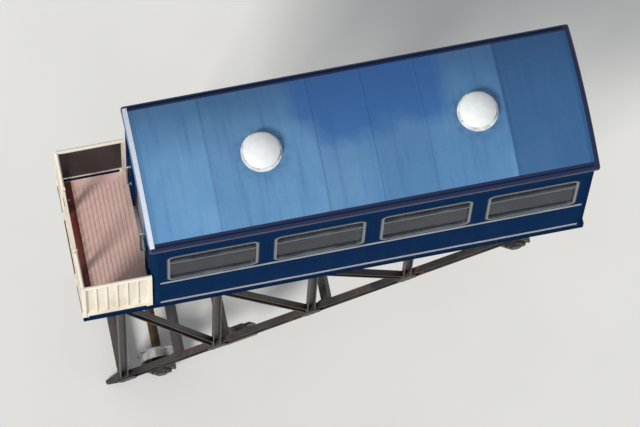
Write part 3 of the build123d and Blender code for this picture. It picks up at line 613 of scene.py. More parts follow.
def deck_paint(name, colour, worn_colour, spot):
    """A deck with grit and a worn path along the middle, over a dark primed underside."""
    look = Finish(name, 0.75)
    _, y, z = look.axes()
    grit = look.noise(160, 2)
    path = look.grey(look.math("ABSOLUTE", y), 0.1, 0.5, 0.7, 0.1)
    paint = look.mix(look.times(path, look.clouds(4, 5, 0.35, 0.65)), colour, worn_colour)
    paint = look.mix(look.grey(grit, 0.55, 0.75, 0.0, 0.35), paint, spot)
    primer = look.steps(look.noise(5, 5), [(0.35, srgb(48, 44, 42)), (0.65, srgb(74, 66, 60))])
    look.show(look.mix(look.math("GREATER_THAN", z, floor_top - 0.004), primer, paint))
    look.bump(grit, 0.002)
    return look


deck_floor = deck_paint("deck_non_slip", srgb(240, 204, 197), srgb(226, 190, 178), srgb(184, 140, 128))
saloon_sheet = deck_paint("saloon_sheet_floor", srgb(96, 70, 56), srgb(118, 92, 74), srgb(70, 52, 44))

# %% [markdown]
# ## Dress the CAD nodes
# The record names a material slot for each node. One loop gives every node the finish of its slot,
# so nothing of the CAD model keeps its plain colour. The two wheelsets take their own steel, the
# saloon floor its own sheet, the window frames the dull aluminium, and the grab poles, which hands keep
# bright, a satin steel.

# %% Assign the finishes
finish_of = {
    "roof_blue": roof_blue, "vent_white": vent_white, "body_blue": body_blue, "frame_black": frame_black,
    "rail_steel": forged_steel, "bright_aluminium": aluminium, "window_glass": window_glass,
    "bench_wood": bench_wood, "deck_floor": deck_floor, "railing_cream": railing_cream,
    "headstock_red": headstock_red, "buffer_rubber": rubber, "lamp_white": lamp_white,
}
own_finish = {**wheel_finish, "saloon_floor": saloon_sheet, "grab_poles": satin_steel,
              "window_frames": dull_aluminium}
slot_of = {part["node"]: part["material_slot"] for part in frame["record"]["subparts"]}
for name, node in frame["nodes"].items():
    chosen = own_finish.get(name, finish_of[slot_of[name]]).material
    if not node.material_slots:
        node.data.materials.append(chosen)
    for slot in node.material_slots:
        slot.material = chosen
print(len(frame["nodes"]), "nodes dressed")

# %% [markdown]
# ## Roof trim
# The roof is several sheets. A lap strap covers each joint and follows the arch, so a small rectangle
# is spun about the middle of that arch from one edge of the roof to the other. The low end has a
# thicker white one, which catches the sun as a pale line. A gutter strip runs along each edge.

# %% Lap straps
strap_width = 0.05
strap_thick = 0.0035
rivet_pitch = 0.078
strap_places = [roof_low.x + roof_length * lap for lap in laps[1:-1]]


def roof_z(y):
    """The height of the roof's skin at so far from the middle."""
    return arch_middle + sqrt(arch ** 2 - y ** 2)


def strap(bm, x, thick, half, turns):
    """A strip across the arched roof, from half to the other half."""
    start = asin(half / arch)
    section = Matrix.Translation((x, 0, arch_middle)) @ Matrix.Rotation(start, 4, "X")
    section = section @ Matrix.Translation((0, 0, arch + thick / 2))
    section = section @ Matrix.Diagonal((strap_width, 1, thick, 1)) @ Matrix.Rotation(radians(90), 4, "X")
    verts = bmesh.ops.create_grid(bm, x_segments=1, y_segments=1, size=0.5, matrix=section)["verts"]
    face = verts[0].link_faces[0]
    bmesh.ops.spin(bm, geom=[face, *face.edges, *face.verts], cent=(x, 0, arch_middle), axis=(1, 0, 0),
                   angle=-2 * start, steps=turns, use_merge=False)
    bmesh.ops.holes_fill(bm, edges=[e for e in bm.edges if e.is_boundary], sides=4)


bm = bmesh.new()
for x in strap_places:
    strap(bm, x, strap_thick, roof_half - 0.05, 14)
for x in strap_places:
    for n in range(-9, 10):
        y = n * rivet_pitch
        for aside in (-0.016, 0.016):
            rivet(bm, (x + aside, y, roof_z(y) + strap_thick - 0.001), (0, y / arch, 1), 0.006)
piece("roof_straps", bm, roof_blue, sharp=30)

# %% End strip and gutters
bm = bmesh.new()
strap(bm, roof_low.x + 0.036, 0.005, roof_half - 0.035, 24)
piece("roof_end_strip", bm, strip_white, sharp=30)

bm = bmesh.new()
for side in (-1, 1):
    y = side * (roof_half - 0.03)
    for start, end, tall in ((0.0, 0.008, 0.018), (0.008, 0.022, 0.002)):
        block(bm, (roof_low.x + 0.07, y - side * start, roof_z(y) - 0.012),
              (roof_high.x - 0.07, y - side * end, roof_z(y) + tall))
soften(bm, bm.edges, 0.002)
piece("roof_gutters", bm, body_blue)

# %% [markdown]
# Each vent is a pressed dome over a short neck. The CAD model draws the dome as three flat cones, which
# show as rings from above, where the photograph is taken. So these pieces replace it: the dome is the
# top of a sphere, cut off by a plane, and the neck and the base are discs with softened edges. All keep
# the CAD's radii and heights.

# %% Vent domes
vent_places = [roof_low.x + vent_share * roof_length for vent_share in vent_shares]
crown = roof_high.z
cap_radius = 0.19
cap_rise = 0.058
neck_radius = 0.15
base_radius = 0.215
base_top = crown + 0.008
cap_edge = vent_top - cap_rise
ball = (cap_radius ** 2 + cap_rise ** 2) / (2 * cap_rise)


def dome(x):
    """The pressed cap of a vent: the top of a sphere with a short rim, 4 mm thick."""
    cap = bmesh.new()
    bmesh.ops.create_uvsphere(cap, u_segments=56, v_segments=56, radius=ball,
                              matrix=Matrix.Translation((x, 0, vent_top - ball)))
    bmesh.ops.bisect_plane(cap, geom=[*cap.verts, *cap.edges, *cap.faces], plane_co=(0, 0, cap_edge),
                           plane_no=(0, 0, 1), clear_inner=True)
    rim = bmesh.ops.extrude_edge_only(cap, edges=[e for e in cap.edges if e.is_boundary])["geom"]
    rim_verts = [part for part in rim if isinstance(part, bmesh.types.BMVert)]
    bmesh.ops.translate(cap, verts=rim_verts, vec=(0, 0, -0.012))
    bmesh.ops.solidify(cap, geom=cap.faces[:], thickness=0.004)
    shell = bpy.data.meshes.new("cap")
    cap.to_mesh(shell)
    cap.free()
    return shell


bm = bmesh.new()
for x in vent_places:
    shell = dome(x)
    bm.from_mesh(shell)
    bpy.data.meshes.remove(shell)
    for radius, low, high in ((base_radius, vent_foot, base_top), (neck_radius, crown, cap_edge - 0.006)):
        verts = peg(bm, (x, 0, low), up, radius, high - low, sides=56)
        rim = [e for e in edges_of(verts) if min(v.co.z for v in e.verts) > high - 0.001]
        soften(bm, rim, 0.003, segments=2)
vent_domes = piece("vent_domes", bm, vent_white)
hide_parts("roof_vents")

# %% [markdown]
# Air passes under the dome between louvres, thin plates that stand round the neck, turned a little,
# made by turning one plate about the vent's middle. Eight bolts hold the base to the roof, a rolled bead
# stiffens the dome's rim, and a cap nut closes its top.

# %% Vent louvres, bolts and beads
louvres = 28
base_bolts = 8
fins, trim = bmesh.new(), bmesh.new()
for x in vent_places:
    for n in range(louvres):
        around = Matrix.Translation((x, 0, 0)) @ Matrix.Rotation(radians(n * 360 / louvres), 4, "Z")
        verts = block(fins, (0.148, -0.002, crown + 0.006), (0.178, 0.002, crown + 0.0495))
        bmesh.ops.rotate(fins, cent=(0.163, 0, 0), matrix=Matrix.Rotation(radians(35), 3, "Z"), verts=verts)
        bmesh.ops.transform(fins, matrix=around, verts=verts)
    for n in range(base_bolts):
        turn = Matrix.Rotation(radians((n + 0.5) * 360 / base_bolts), 3, "Z")
        bolt(trim, Vector((x, 0, base_top)) + turn @ Vector((0.202, 0, 0)), up, 0.007)
    at_rim = Matrix.Translation((x + cap_radius - 0.003, 0, cap_edge - 0.010))
    hoop(trim, 0.005, at_rim @ Matrix.Rotation(radians(90), 4, "X"), (x, 0, 0), (0, 0, 1), 56)
    peg(trim, (x, 0, vent_top - 0.0035), up, 0.014, 0.0034, sides=12, top=0.010)
piece("vent_louvres", fins, vent_white)
piece("vent_trim", trim, vent_white)

# %% [markdown]
# ## Side trim
# Along each side run three mouldings: two of bare metal, under the windows and at the floor, and a
# painted one over the windows. Only their outer edges are rounded, because the others lie on the wall.

# %% Mouldings
wall_low, wall_high = vectors(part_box("side_wall_left"))
frame_low, frame_high = vectors(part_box("window_frames"))
skin = wall_high.y
body_half = 0.78
wall = 0.04
windows = 4
window_pillar = 0.17
joints_x = spread(wall_low.x, wall_high.x, windows + 1)
pitch = joints_x[1] - joints_x[0]
window_half = (pitch - window_pillar) / 2
centres = [x + pitch / 2 for x in joints_x[:-1]]
bare_rows = ((frame_low.z - 0.075, 0.034, 0.012), (floor_top + 0.05, 0.04, 0.010))
painted_rows = ((frame_high.z + 0.06, 0.026, 0.010),)

for name, metal, slot, rows in (("side_mouldings", aluminium, "bright_aluminium", bare_rows),
                                ("cant_mouldings", body_blue, "body_blue", painted_rows)):
    bm = bmesh.new()
    for side in (-1, 1):
        for z, tall, proud in rows:
            verts = block(bm, (wall_low.x + 0.004, side * (skin - 0.002), z),
                          (wall_high.x - 0.004, side * (skin + proud), z + tall))
            outer_edges = [e for e in edges_of(verts) if all(abs(v.co.y) > skin for v in e.verts)]
            soften(bm, outer_edges, 0.006, segments=3)
    piece(name, bm, metal)

# %% [markdown]
# Cover strips hide the joints of the panels between the windows, and a narrower one closes each end.
# They stop short of the mouldings, and rivets hold them at an even pitch that the length decides. A row
# of rivets at the floor holds the panels themselves.

# %% Cover strips and rivets
strip_half = 0.022
end_strip_half = 0.012
strip_rows = ((floor_top + 0.092, frame_low.z - 0.077), (frame_low.z - 0.040, frame_high.z + 0.058),
              (frame_high.z + 0.088, wall_high.z - 0.006))
strips, studs = bmesh.new(), bmesh.new()


def cover_strip(x, half, side, z0, z1):
    """One strip with its rivets: two columns on a wide strip, one on a narrow one."""
    block(strips, (x - half, side * (skin - 0.001), z0), (x + half, side * (skin + 0.003), z1))
    count = max(2, round((z1 - z0) / 0.11))
    for k in range(count):
        z = z0 + (z1 - z0) * (k + 0.5) / count
        for aside in ((-0.012, 0.012) if half == strip_half else (0,)):
            rivet(studs, (x + aside, side * (skin + 0.003), z), (0, side, 0), 0.0055)


for side in (-1, 1):
    for z0, z1 in strip_rows:
        for x in joints_x[1:-1]:
            cover_strip(x, strip_half, side, z0, z1)
        for x in (joints_x[0] + end_strip_half + 0.002, joints_x[-1] - end_strip_half - 0.002):
            cover_strip(x, end_strip_half, side, z0, z1)
    for x in spread(wall_low.x + 0.04, wall_high.x - 0.04, 60):
        rivet(studs, (x, side * skin, floor_top + 0.025), (0, side, 0), 0.0055)
piece("cover_strips", strips, body_blue)
piece("side_rivets", studs, body_blue)

# %% [markdown]
# A rubber gasket seals each window frame to the wall, so it stands just outside the frame's edge, on
# the outer skin and on the inner one.

# %% Window gaskets, outside and inside
gasket = 0.009
window_radius = 0.085
bm = bmesh.new()
for side in (-1, 1):
    for x in centres:
        for near, far in ((skin - 0.001, skin + 0.0045), (skin - wall - 0.0045, skin - wall + 0.001)):
            rounded_ring(bm, (x - window_half - gasket, side * near, frame_low.z - gasket),
                         (x + window_half + gasket, side * far, frame_high.z + gasket),
                         "Y", window_radius + gasket, 0.0088)
piece("window_gaskets", bm, rubber)

# %% [markdown]
# The upper pane of each window is a vent that tips inwards. It has no joint here, but it has its catch:
# a small lever in the middle of the transom bar, on the inside where it can be reached.

# %% Window catches
transom_drop = 0.23
transom = frame_high.z - transom_drop
bm = bmesh.new()
for side in (-1, 1):
    for x in centres:
        y = side * (skin - 0.046)
        peg(bm, (x, y, transom), (0, -side, 0), 0.013, 0.014, sides=12)
        block(bm, (x - 0.007, y - side * 0.008, transom - 0.006),
              (x + 0.007, y - side * 0.018, transom + 0.062))
soften(bm, bm.edges, 0.002, segments=2)
piece("window_catches", bm, aluminium)

# %% [markdown]
# ## Doors and end walls
# Two leaves meet in the middle of each end. Each leaf carries a rubber seal on its meeting edge, a
# gasket round its glass on both faces, a kick plate and a bar across its recessed pull. They ride on the
# leaf's own body, so they slide with it.

# %% Door trim
hanger_height = 0.04
pane_lap = 0.012
pane_radius = 0.06 + pane_lap
pane_band = 0.013
kick_top = 0.24
pull_inset = 0.045
pull_z = floor_top + 1.05


def leaf_trim(end, side):
    """Seal, gaskets, kick plates and pull of one leaf."""
    body = f"door_{end}_{side}"
    low, high = vectors(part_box(body))
    glass_low, glass_high = vectors(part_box(f"door_glass_{end}_{side}"))
    meeting, inward = (low.y, -1) if side == "left" else (high.y, 1)
    soft = bmesh.new()
    block(soft, (low.x + 0.004, meeting - inward * 0.001, low.z + 0.004),
          (high.x - 0.004, meeting + inward * 0.0018, high.z - hanger_height - 0.004))
    hard = bmesh.new()
    for x, way in ((low.x, -1), (high.x, 1)):
        rounded_ring(soft, (x - way * 0.001, glass_low.y - pane_lap, glass_low.z - pane_lap),
                     (x + way * 0.002, glass_high.y + pane_lap, glass_high.z + pane_lap),
                     "X", pane_radius, pane_band)
        block(hard, (x - way * 0.001, low.y + 0.012, low.z + 0.02),
              (x + way * 0.0015, high.y - 0.012, low.z + kick_top))
        for y in (low.y + 0.03, (low.y + high.y) / 2, high.y - 0.03):
            for z in (low.z + 0.035, low.z + kick_top - 0.015):
                rivet(hard, (x + way * 0.0015, y, z), (way, 0, 0), 0.006)
    pull_x = low.x + 0.006 if end == "lower" else high.x - 0.006
    pull_y = meeting - inward * (pull_inset - 0.0025)
    bar(hard, [(pull_x, pull_y, pull_z - 0.065), (pull_x, pull_y, pull_z + 0.065)], 0.004, sides=8)
    piece(f"{body}_seals", soft, rubber, body)
    piece(f"{body}_plates", hard, aluminium, body)


for end in ("lower", "upper"):
    for side in ("left", "right"):
        leaf_trim(end, side)

# %% [markdown]
# Each doorway has a ribbed threshold plate. The one at the platform also has a drip strip over it and a
# grab handle on each side. The end windows get gaskets like those of the doors, outside and inside.

# %% End wall trim
end_faces = ((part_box("end_wall_lower")[0][0], -1), (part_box("end_wall_upper")[1][0], 1))
glass_low, glass_high = vectors(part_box("end_glass"))
opening = 0.34
leaf_gap = 0.008
door_lap = 0.03
door_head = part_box("door_lower_left")[1][2] - hanger_height - leaf_gap - door_lap
corner_radius = 0.08
window_middle = (opening + body_half - corner_radius) / 2
window_width = 0.21
gasket_half = window_width / 2 + pane_lap
metal, soft = bmesh.new(), bmesh.new()
for face, out in end_faces:
    block(metal, (face, -opening + 0.002, floor_top), (face - out * wall, opening - 0.002, floor_top + 0.003))
    for k in range(5):
        x = face - out * (0.008 + k * 0.007)
        block(metal, (x - 0.002, -opening + 0.004, floor_top + 0.002),
              (x + 0.002, opening - 0.004, floor_top + 0.005))
    for side in (-1, 1):
        for x, way in ((face, out), (face - out * wall, -out)):
            rounded_ring(soft, (x - way * 0.001, side * window_middle - gasket_half, glass_low.z - pane_lap),
                         (x + way * 0.004, side * window_middle + gasket_half, glass_high.z + pane_lap),
                         "X", pane_radius, pane_band)
face, out = end_faces[0]
block(metal, (face - out * 0.001, -opening - 0.06, door_head + 0.03),
      (face + out * 0.014, opening + 0.06, door_head + 0.05))
for y in (-opening - 0.03, opening + 0.03):
    handle(metal, (face, y, floor_top + 0.75), (face, y, floor_top + 1.35), (out, 0, 0))
piece("end_trim", metal, aluminium)
piece("end_window_gaskets", soft, rubber)

# %% [markdown]
# ## Platform
# Ribs of grit strip run across the platform so that wet shoes hold, and a red nosing marks its open
# end. Each railing post stands on a bolted foot plate, and a flat kick board closes the gap at the deck.

# %% Platform ribs, nosing and railing feet
deck_low, deck_high = vectors(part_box("platform_floor"))
deck_top = deck_high.z
railing_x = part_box("platform_railings")[0][0]
post = 0.04
post_low_x = railing_x + post / 2
post_high_x = deck_high.x - post / 2
railing_y = body_half - post / 2
gate_post_y = 0.368
foot_half = 0.045

bm = bmesh.new()
for x in spread(deck_low.x + 0.075, deck_high.x - 0.065, 13):
    block(bm, (x - 0.011, deck_low.y + 0.09, deck_top - 0.001),
          (x + 0.011, deck_high.y - 0.09, deck_top + 0.004))
piece("platform_ribs", bm, deck_floor)

bm = bmesh.new()
block(bm, (railing_x + 0.042, deck_low.y + 0.004, deck_top - 0.001),
      (railing_x + 0.15, deck_high.y - 0.004, deck_top + 0.0045))
soften(bm, bm.edges, 0.0015)
piece("platform_nosing", bm, headstock_red)

bm = bmesh.new()
for x, aside in ((post_low_x, railing_y), (post_low_x, gate_post_y), (post_high_x, railing_y)):
    for y in (-aside, aside):
        x0, x1 = max(x - foot_half, railing_x), min(x + foot_half, deck_high.x)
        y0, y1 = max(y - foot_half, -body_half), min(y + foot_half, body_half)
        block(bm, (x0, y0, deck_top - 0.0005), (x1, y1, deck_top + 0.008))
        for u, v in four((x1 - x0) / 2 - 0.012, (y1 - y0) / 2 - 0.012):
            bolt(bm, ((x0 + x1) / 2 + u, (y0 + y1) / 2 + v, deck_top + 0.008), up, 0.006)
for side in (-1, 1):
    block(bm, (railing_x + 0.042, side * (railing_y + 0.008), deck_top + 0.012),
          (deck_high.x - 0.042, side * (railing_y + 0.012), deck_top + 0.1))
    block(bm, (railing_x + 0.008, side * (gate_post_y + 0.022), deck_top + 0.012),
          (railing_x + 0.012, side * (railing_y - 0.022), deck_top + 0.1))
piece("railing_feet", bm, railing_cream)

# %% [markdown]
# Sheet panels close both sides of the platform below the hand rail. From above, the inner face of the
# far one is a dark bar under the pale rail. Each is one thin sheet between the two flats, riveted to
# the inside of the bars, cream outside like them and black inside. One finish
# gives both colours, split by the distance from the middle of the car, halfway through the sheet.

# %% Platform side panels
bars_low, bars_high = vectors(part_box("railing_balusters"))
panel_outer = bars_high.y - 0.014
panel_inner = panel_outer - 0.003
look = panel_paint = Finish("side_panel_paint", 0.45, shine=0.2)
outside = look.grey(look.math("ABSOLUTE", look.axes()[1]), panel_inner + 0.001, panel_inner + 0.002)
grime = look.noise(4, 5, stretch=(1, 1, 0.3))
cream = look.steps(grime, [(0.4, srgb(236, 228, 214)), (0.75, srgb(206, 194, 176))])
black = look.steps(grime, [(0.4, srgb(30, 29, 34)), (0.75, srgb(48, 45, 46))])
look.show(look.mix(outside, black, cream))
look.bump(look.noise(40, 4), 0.0006, 0.3)

panels, rivets = bmesh.new(), bmesh.new()
panel_x = railing_x + post, deck_high.x - post
for side in (-1, 1):
    block(panels, (panel_x[0], side * panel_inner, bars_low.z), (panel_x[1], side * panel_outer, bars_high.z))
    for x in spread(*panel_x, 7)[1:-1]:
        for z in (bars_low.z + 0.03, bars_high.z - 0.03):
            peg(rivets, (x, side * (panel_inner - 0.001), z), (0, -side, 0), 0.006, 0.003, sides=8, top=0.004)
piece("platform_panels", panels, panel_paint)
piece("panel_rivets", rivets, forged_steel)

# %% [markdown]
# The gate has a latch at its free edge: a flat case with a round knob on a short stem. It rides on the
# gate, so it swings with it.

# %% Gate latch
case_y, case_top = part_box("platform_gate")[1][1:]
knob_y = case_y - 0.06
knob_z = case_top - 0.17
bm = bmesh.new()
block(bm, (post_low_x - 0.012, case_y - 0.12, knob_z - 0.02),
      (post_low_x + 0.019, case_y - 0.002, knob_z + 0.02))
bar(bm, [(post_low_x + 0.017, knob_y, knob_z), (post_low_x + 0.05, knob_y, knob_z)], 0.006)
peg(bm, (post_low_x + 0.048, knob_y, knob_z), (1, 0, 0), 0.016, 0.014, sides=14, top=0.012)
soften(bm, bm.edges, 0.0015)
piece("gate_latch", bm, forged_steel, "gate")

# %% [markdown]
# ## Inside the saloon
# Through the glass the slats show their screws, the poles their round feet, and the brackets their
# flat toes. They are plain pegs and plates, because at that distance only their rhythm shows.

# %% Screws, feet and pole flanges
bracket_low, bracket_high = vectors(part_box("bench_brackets"))
pole_low, pole_high = vectors(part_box("grab_poles"))
bench_height = 0.43
bench_depth = 0.41
slat = 0.058
slat_thickness = 0.022
slat_pitch = 0.07
pole_radius = 0.016
first_slat = body_half - wall - bench_depth + slat / 2
seat_z = floor_top + bench_height + slat_thickness

screws, flanges = bmesh.new(), bmesh.new()
for side in (-1, 1):
    for x in spread(bracket_low.x + 0.015, bracket_high.x - 0.015, 4):
        for n in range(5):
            peg(screws, (x, side * (first_slat + n * slat_pitch), seat_z), up, 0.006, 0.0012, sides=8)
        block(flanges, (x - 0.035, side * 0.44, floor_top), (x + 0.035, side * 0.56, floor_top + 0.006))
for x in (pole_low.x + pole_radius, pole_high.x - pole_radius):
    for y in (pole_low.y + pole_radius, pole_high.y - pole_radius):
        peg(flanges, (x, y, floor_top), up, 0.045, 0.008, sides=20, top=0.04)
        peg(flanges, (x, y, pole_high.z - 0.016), up, 0.04, 0.012, sides=20, top=0.045)
piece("bench_screws", screws, aluminium)
piece("pole_flanges", flanges, satin_steel)

# %% [markdown]
# ## Underframe
# Where posts and diagonals meet a chord, a plate with cut corners is riveted over the open channels.
# Each plate is a box whose four corners are bevelled with one segment, turned to lie along its chord.
# Those at the low end are moved in, so that they stay on the end post.

# %% Gusset plates
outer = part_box("top_chords")[1][1]
chord_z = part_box("top_chords")[1][2] - 0.06
chord_off_slope = 0.36
post_x = [-2.48 + 1.05 * n for n in range(4)]
plate = 0.008


def low_chord_z(x):
    """The middle of the sloping chord at x."""
    return (x * sin(slope) + chord_off_slope) / cos(slope)


def gusset(bm, x, z, width, height, turn, side):
    """A riveted plate with cut corners on the outside of a frame."""
    spin = Matrix.Rotation(-turn, 4, "Y")
    verts = block(bm, (-width / 2, 0, -height / 2), (width / 2, side * plate, height / 2))
    corners = [e for e in edges_of(verts) if abs(e.verts[0].co.y - e.verts[1].co.y) > plate / 2]
    made = soften(bm, corners, min(width, height) * 0.3)
    whole = {vert for face in made["faces"] for vert in face.verts}
    bmesh.ops.transform(bm, matrix=Matrix.Translation((x, side * outer, z)) @ spin, verts=list(whole))
    for u in (-0.32, 0, 0.32):
        for v in (-0.32, 0.32):
            spot = spin @ Vector((u * width, 0, v * height))
            rivet(bm, (x + spot.x, side * (outer + plate), z + spot.z), (0, side, 0), 0.011)


bm = bmesh.new()
for side in (-1, 1):
    for x in post_x:
        inset, width = (0.03, 0.18) if x == post_x[0] else (0, 0.26)
        gusset(bm, x + inset, low_chord_z(x), 0.24, 0.1, slope, side)
        gusset(bm, x + 2 * inset, chord_z, width, 0.1, 0, side)
piece("frame_gussets", bm, frame_black)

# %% [markdown]
# Each cross member ends in a plate that four bolts hold to the web of its chord. The flat braces at the
# low end cross in one bolt. Bolts through the sole bars hold the seven floor bearers, and eight small
# ones hold each headstock.

# %% End plates and bolts
inner = outer - 0.07
end_plate = (0.15, 0.01, 0.108)
bolt_u, bolt_v = 0.059, 0.036
member_along = (-2.715, -1.955, -1.35, 0.0, 1.85)
members = [(uphill * along + off_slope * chord_off_slope, slope) for along in member_along]
members += [(Vector((x, 0, chord_z)), 0) for x in post_x[1:3]]
bm = bmesh.new()
for middle, turn in members:
    level, upright = Vector((cos(turn), 0, sin(turn))), Vector((-sin(turn), 0, cos(turn)))
    for side in (-1, 1):
        centre = middle + left * side * (inner - 0.005)
        tilted_block(bm, centre, turned_to(level, left, upright), end_plate)
        for u, v in four(bolt_u, bolt_v):
            bolt(bm, middle + left * side * (inner - 0.01) + level * u + upright * v, -left * side, 0.009)

brace_middle = (low_chord_z(post_x[0]) + 0.12 + chord_z - 0.06) / 2
for way in (-1, 1):
    bolt(bm, (post_x[0] + way * 0.005, 0, brace_middle), (way, 0, 0), 0.014)

bearer_low, bearer_high = vectors(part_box("floor_bearers"))
web_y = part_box("sole_bars")[1][1] - 0.023
for x in spread(bearer_low.x + 0.03, bearer_high.x - 0.03, 7):
    for side in (-1, 1):
        for z in (bearer_low.z + 0.03, bearer_high.z - 0.02):
            bolt(bm, (x, side * web_y, z), (0, side, 0), 0.009)
for x, way in ((cad_low.x + 0.005, -1), (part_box("headstocks")[1][0], 1)):
    for y in (-0.70, -0.45, 0.45, 0.70):
        for z in (bearer_low.z + 0.03, bearer_high.z):
            bolt(bm, (x, y, z), (way, 0, 0), 0.005)
piece("frame_plates", bm, frame_black)

# %% [markdown]
# Each axle box has a bolted cover with a grease nipple in its middle, and each horn foot has its stay
# bolts. They ride on the car, because the boxes don't turn with the wheels.

# %% Axle box covers
cap_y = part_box("axle_boxes")[1][1]
box_y = cap_y - 0.018
bm = bmesh.new()
for middle in axles.values():
    middle = Vector((middle[0], 0, middle[2]))
    for out in (-left, left):
        for u, v in four(0.062, 0.062):
            bolt(bm, middle + uphill * u + off_slope * v + out * box_y, out, 0.010)
        for n in range(6):
            turn = Matrix.Rotation(radians(60 * n), 3, "Y")
            peg(bm, middle + turn @ Vector((0.048, 0, 0)) + out * cap_y, out, 0.006, 0.004)
        peg(bm, middle + out * cap_y, out, 0.009, 0.005, sides=10)
        for u in (-0.1125, 0.1125):
            bolt(bm, middle + uphill * u - off_slope * 0.11 + out * outer, out, 0.010)
piece("axle_box_bolts", bm, forged_steel)

# %% [markdown]
# The draw gear ends in a fork. Its pin has a washer and a nut on each side with a split pin through,
# and each rope socket has two collars round its barrel.

# %% Draw pin and socket collars
def mount_places(start):
    """Where the mounts are whose names start so."""
    return [Vector(mount["pos_m"]) for mount in frame["record"]["mounts"] if mount["name"].startswith(start)]


pin = Vector([j for j in frame["joints"] if j["name"] == "equaliser_turn"][0]["pos_m"])
bm = bmesh.new()
for out in (-off_slope, off_slope):
    top = pin + out * 0.0325
    peg(bm, top, out, 0.034, 0.004, sides=20)
    peg(bm, top + out * 0.004, out, 0.026, 0.018)
    bar(bm, [top + out * 0.014 - left * 0.034, top + out * 0.014 + left * 0.034], 0.003, sides=8)
piece("draw_pin_nuts", bm, forged_steel)

bm = bmesh.new()
collar = 0.004
for socket in mount_places("rope_socket"):
    for along, radius in ((-0.1, 0.028), (-0.04, 0.023)):
        middle = socket + uphill * along
        hoop(bm, collar, Matrix.Translation(middle + left * radius) @ pointing(off_slope), middle, uphill, 28)
piece("socket_collars", bm, forged_steel, "equaliser")

# %% [markdown]
# A track brake hangs at each side, between the wheels and nearer the lower ones. Its two jaws face each
# other, and each has a lining on its inner face, which is softer than steel and so a piece of its own.
# Four bolts hold each jaw, and four more hold the plate of each buffer.

# %% Brake linings and bolts
brake = uphill * -1.35
along_slope = turned_to(uphill, left, off_slope)
buffer_length = 0.12
linings, bolts = bmesh.new(), bmesh.new()
for side in (-1, 1):
    for y in (0.5275, 0.6035):
        tilted_block(linings, brake + left * side * y - off_slope * 0.002, along_slope, (0.36, 0.005, 0.03))
    for u in (-0.15, -0.05, 0.05, 0.15):
        for y, way in ((0.4955, -1), (0.6355, 1)):
            bolt(bolts, brake + uphill * u + off_slope * 0.055 + left * side * y, left * side * way, 0.012)
for buffer in mount_places("buffer"):
    for u, v in four(0.022, 0.047):
        bolt(bolts, buffer + uphill * buffer_length + left * u + off_slope * v, -uphill, 0.007)
piece("brake_linings", linings, rubber)
piece("underframe_bolts", bolts, forged_steel)

# %% [markdown]
# ## Floor, light and camera
# The floor is a plain pale sheet at the height of the lowest flange. Its underside is clear, so that the
# car can be seen from below. The light is even: a pale sky and one broad lamp from the left and the near
# side, which leaves the far half of the arched roof a little darker. What the camera, glass and metal
# see beyond the floor is the same pale tone.

# %% Floor
look = Finish("stage_floor", 0.9)
look.show(look.mix(look.clouds(0.6, 2, 0.3, 0.7), srgb(240, 240, 238), srgb(236, 236, 234)))
under = look.add("NewGeometry", {}).outputs["Backfacing"]
look.put(look.math("SUBTRACT", 1, under), look.shader.inputs["Alpha"])
floor_z = cad_low.z - 0.001
bm = bmesh.new()
bmesh.ops.create_grid(bm, x_segments=1, y_segments=1, size=90, matrix=Matrix.Translation((0, 0, floor_z)))
sheet = bpy.data.meshes.new("stage_floor")
bm.to_mesh(sheet)
bm.free()
sheet.materials.append(look.material)
floor = bpy.data.objects.new("stage_floor", sheet)
bpy.context.scene.collection.objects.link(floor)
floor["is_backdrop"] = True
print("floor at", round(floor_z, 3))

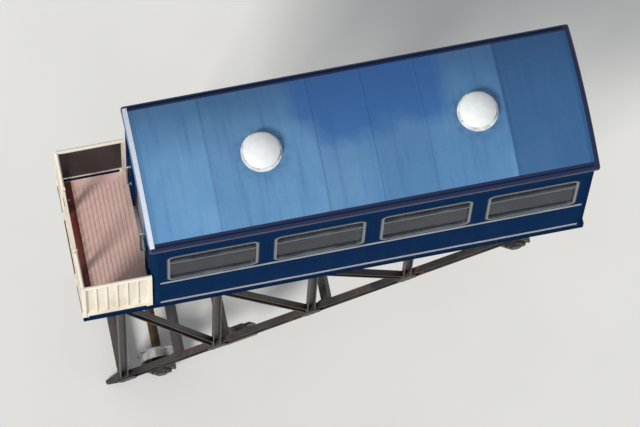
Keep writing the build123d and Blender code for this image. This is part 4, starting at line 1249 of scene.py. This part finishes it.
# %% Light
scene = bpy.context.scene
scene.view_settings.view_transform = "Standard"
world = bpy.data.worlds.new("pale_studio")
world.use_nodes = True
scene.world = world
studio = Nodes(world.node_tree)
sky = studio.tree.nodes["Background"]
sky.inputs["Color"].default_value = (0.93, 0.96, 1, 1)
sky.inputs["Strength"].default_value = 0.42
backdrop = studio.add("Background", {"Color": (1, 1, 1, 1), "Strength": 0.92})
rays = studio.add("LightPath", {}).outputs
seen = studio.math("MAXIMUM", rays["Is Camera Ray"], rays["Is Glossy Ray"])
seen = studio.math("MAXIMUM", seen, rays["Is Transmission Ray"])
blend = studio.add("MixShader", {0: seen, 1: sky.outputs[0], 2: backdrop.outputs[0]})
studio.put(blend.outputs[0], studio.tree.nodes["World Output"].inputs["Surface"])

key = bpy.data.lights.new("key", "SUN")
key.energy = 2.9
key.angle = radians(14)
key.color = (1, 0.97, 0.92)
lamp = bpy.data.objects.new("key", key)
toward = Vector((-0.62, -0.55, 0.56)).normalized()
lamp.rotation_euler = toward.to_track_quat("Z", "Y").to_euler()
scene.collection.objects.link(lamp)
print("lamp from", [round(v, 2) for v in toward])

# %% [markdown]
# The photograph is taken from the air, a long way off, so the camera has a long lens. It looks along
# the azimuth and elevation that the roof's two edges and the slope of its long side give, and it is
# rolled by a few degrees. The distance is set so that the whole car fills the frame.

# %% Camera
azimuth, elevation, roll = radians(-16), radians(73.5), radians(4.7)
frame_wide, frame_tall = 640, 427
margin = 1.12
back = Vector((sin(azimuth) * cos(elevation), -cos(azimuth) * cos(elevation), sin(elevation)))
right = Vector((cos(azimuth), sin(azimuth), 0))
top = back.cross(right)
right, top = right * cos(roll) + top * sin(roll), top * cos(roll) - right * sin(roll)
corners = [Vector((x, y, z)) for x in (cad_low.x, cad_high.x) for y in (cad_low.y, cad_high.y)
           for z in (cad_low.z, cad_high.z)]
spans = [(min(c.dot(way) for c in corners), max(c.dot(way) for c in corners)) for way in (right, top, back)]
target = right * sum(spans[0]) / 2 + top * sum(spans[1]) / 2 + back * sum(spans[2]) / 2
camera = bpy.data.cameras.new("camera")
camera.lens, camera.sensor_width = 300, 36
wide = max(spans[0][1] - spans[0][0], (spans[1][1] - spans[1][0]) * frame_wide / frame_tall) * margin
distance = wide * camera.lens / camera.sensor_width
camera.clip_end = 400
viewer = bpy.data.objects.new("camera", camera)
viewer.matrix_world = Matrix.Translation(target + back * distance) @ turned_to(right, top, back)
scene.collection.objects.link(viewer)
scene.camera = viewer
print("camera", round(distance, 1), "m away, frame", round(wide, 2), "m wide")

# %% [markdown]
# ## The size
# The box of the whole visual model is printed, as the CAD model's box was at the start.
# The trim must stay inside the CAD model's box.

# %% Sizes
low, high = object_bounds()
print("visual box", [round(v, 3) for v in (*low, *high)])
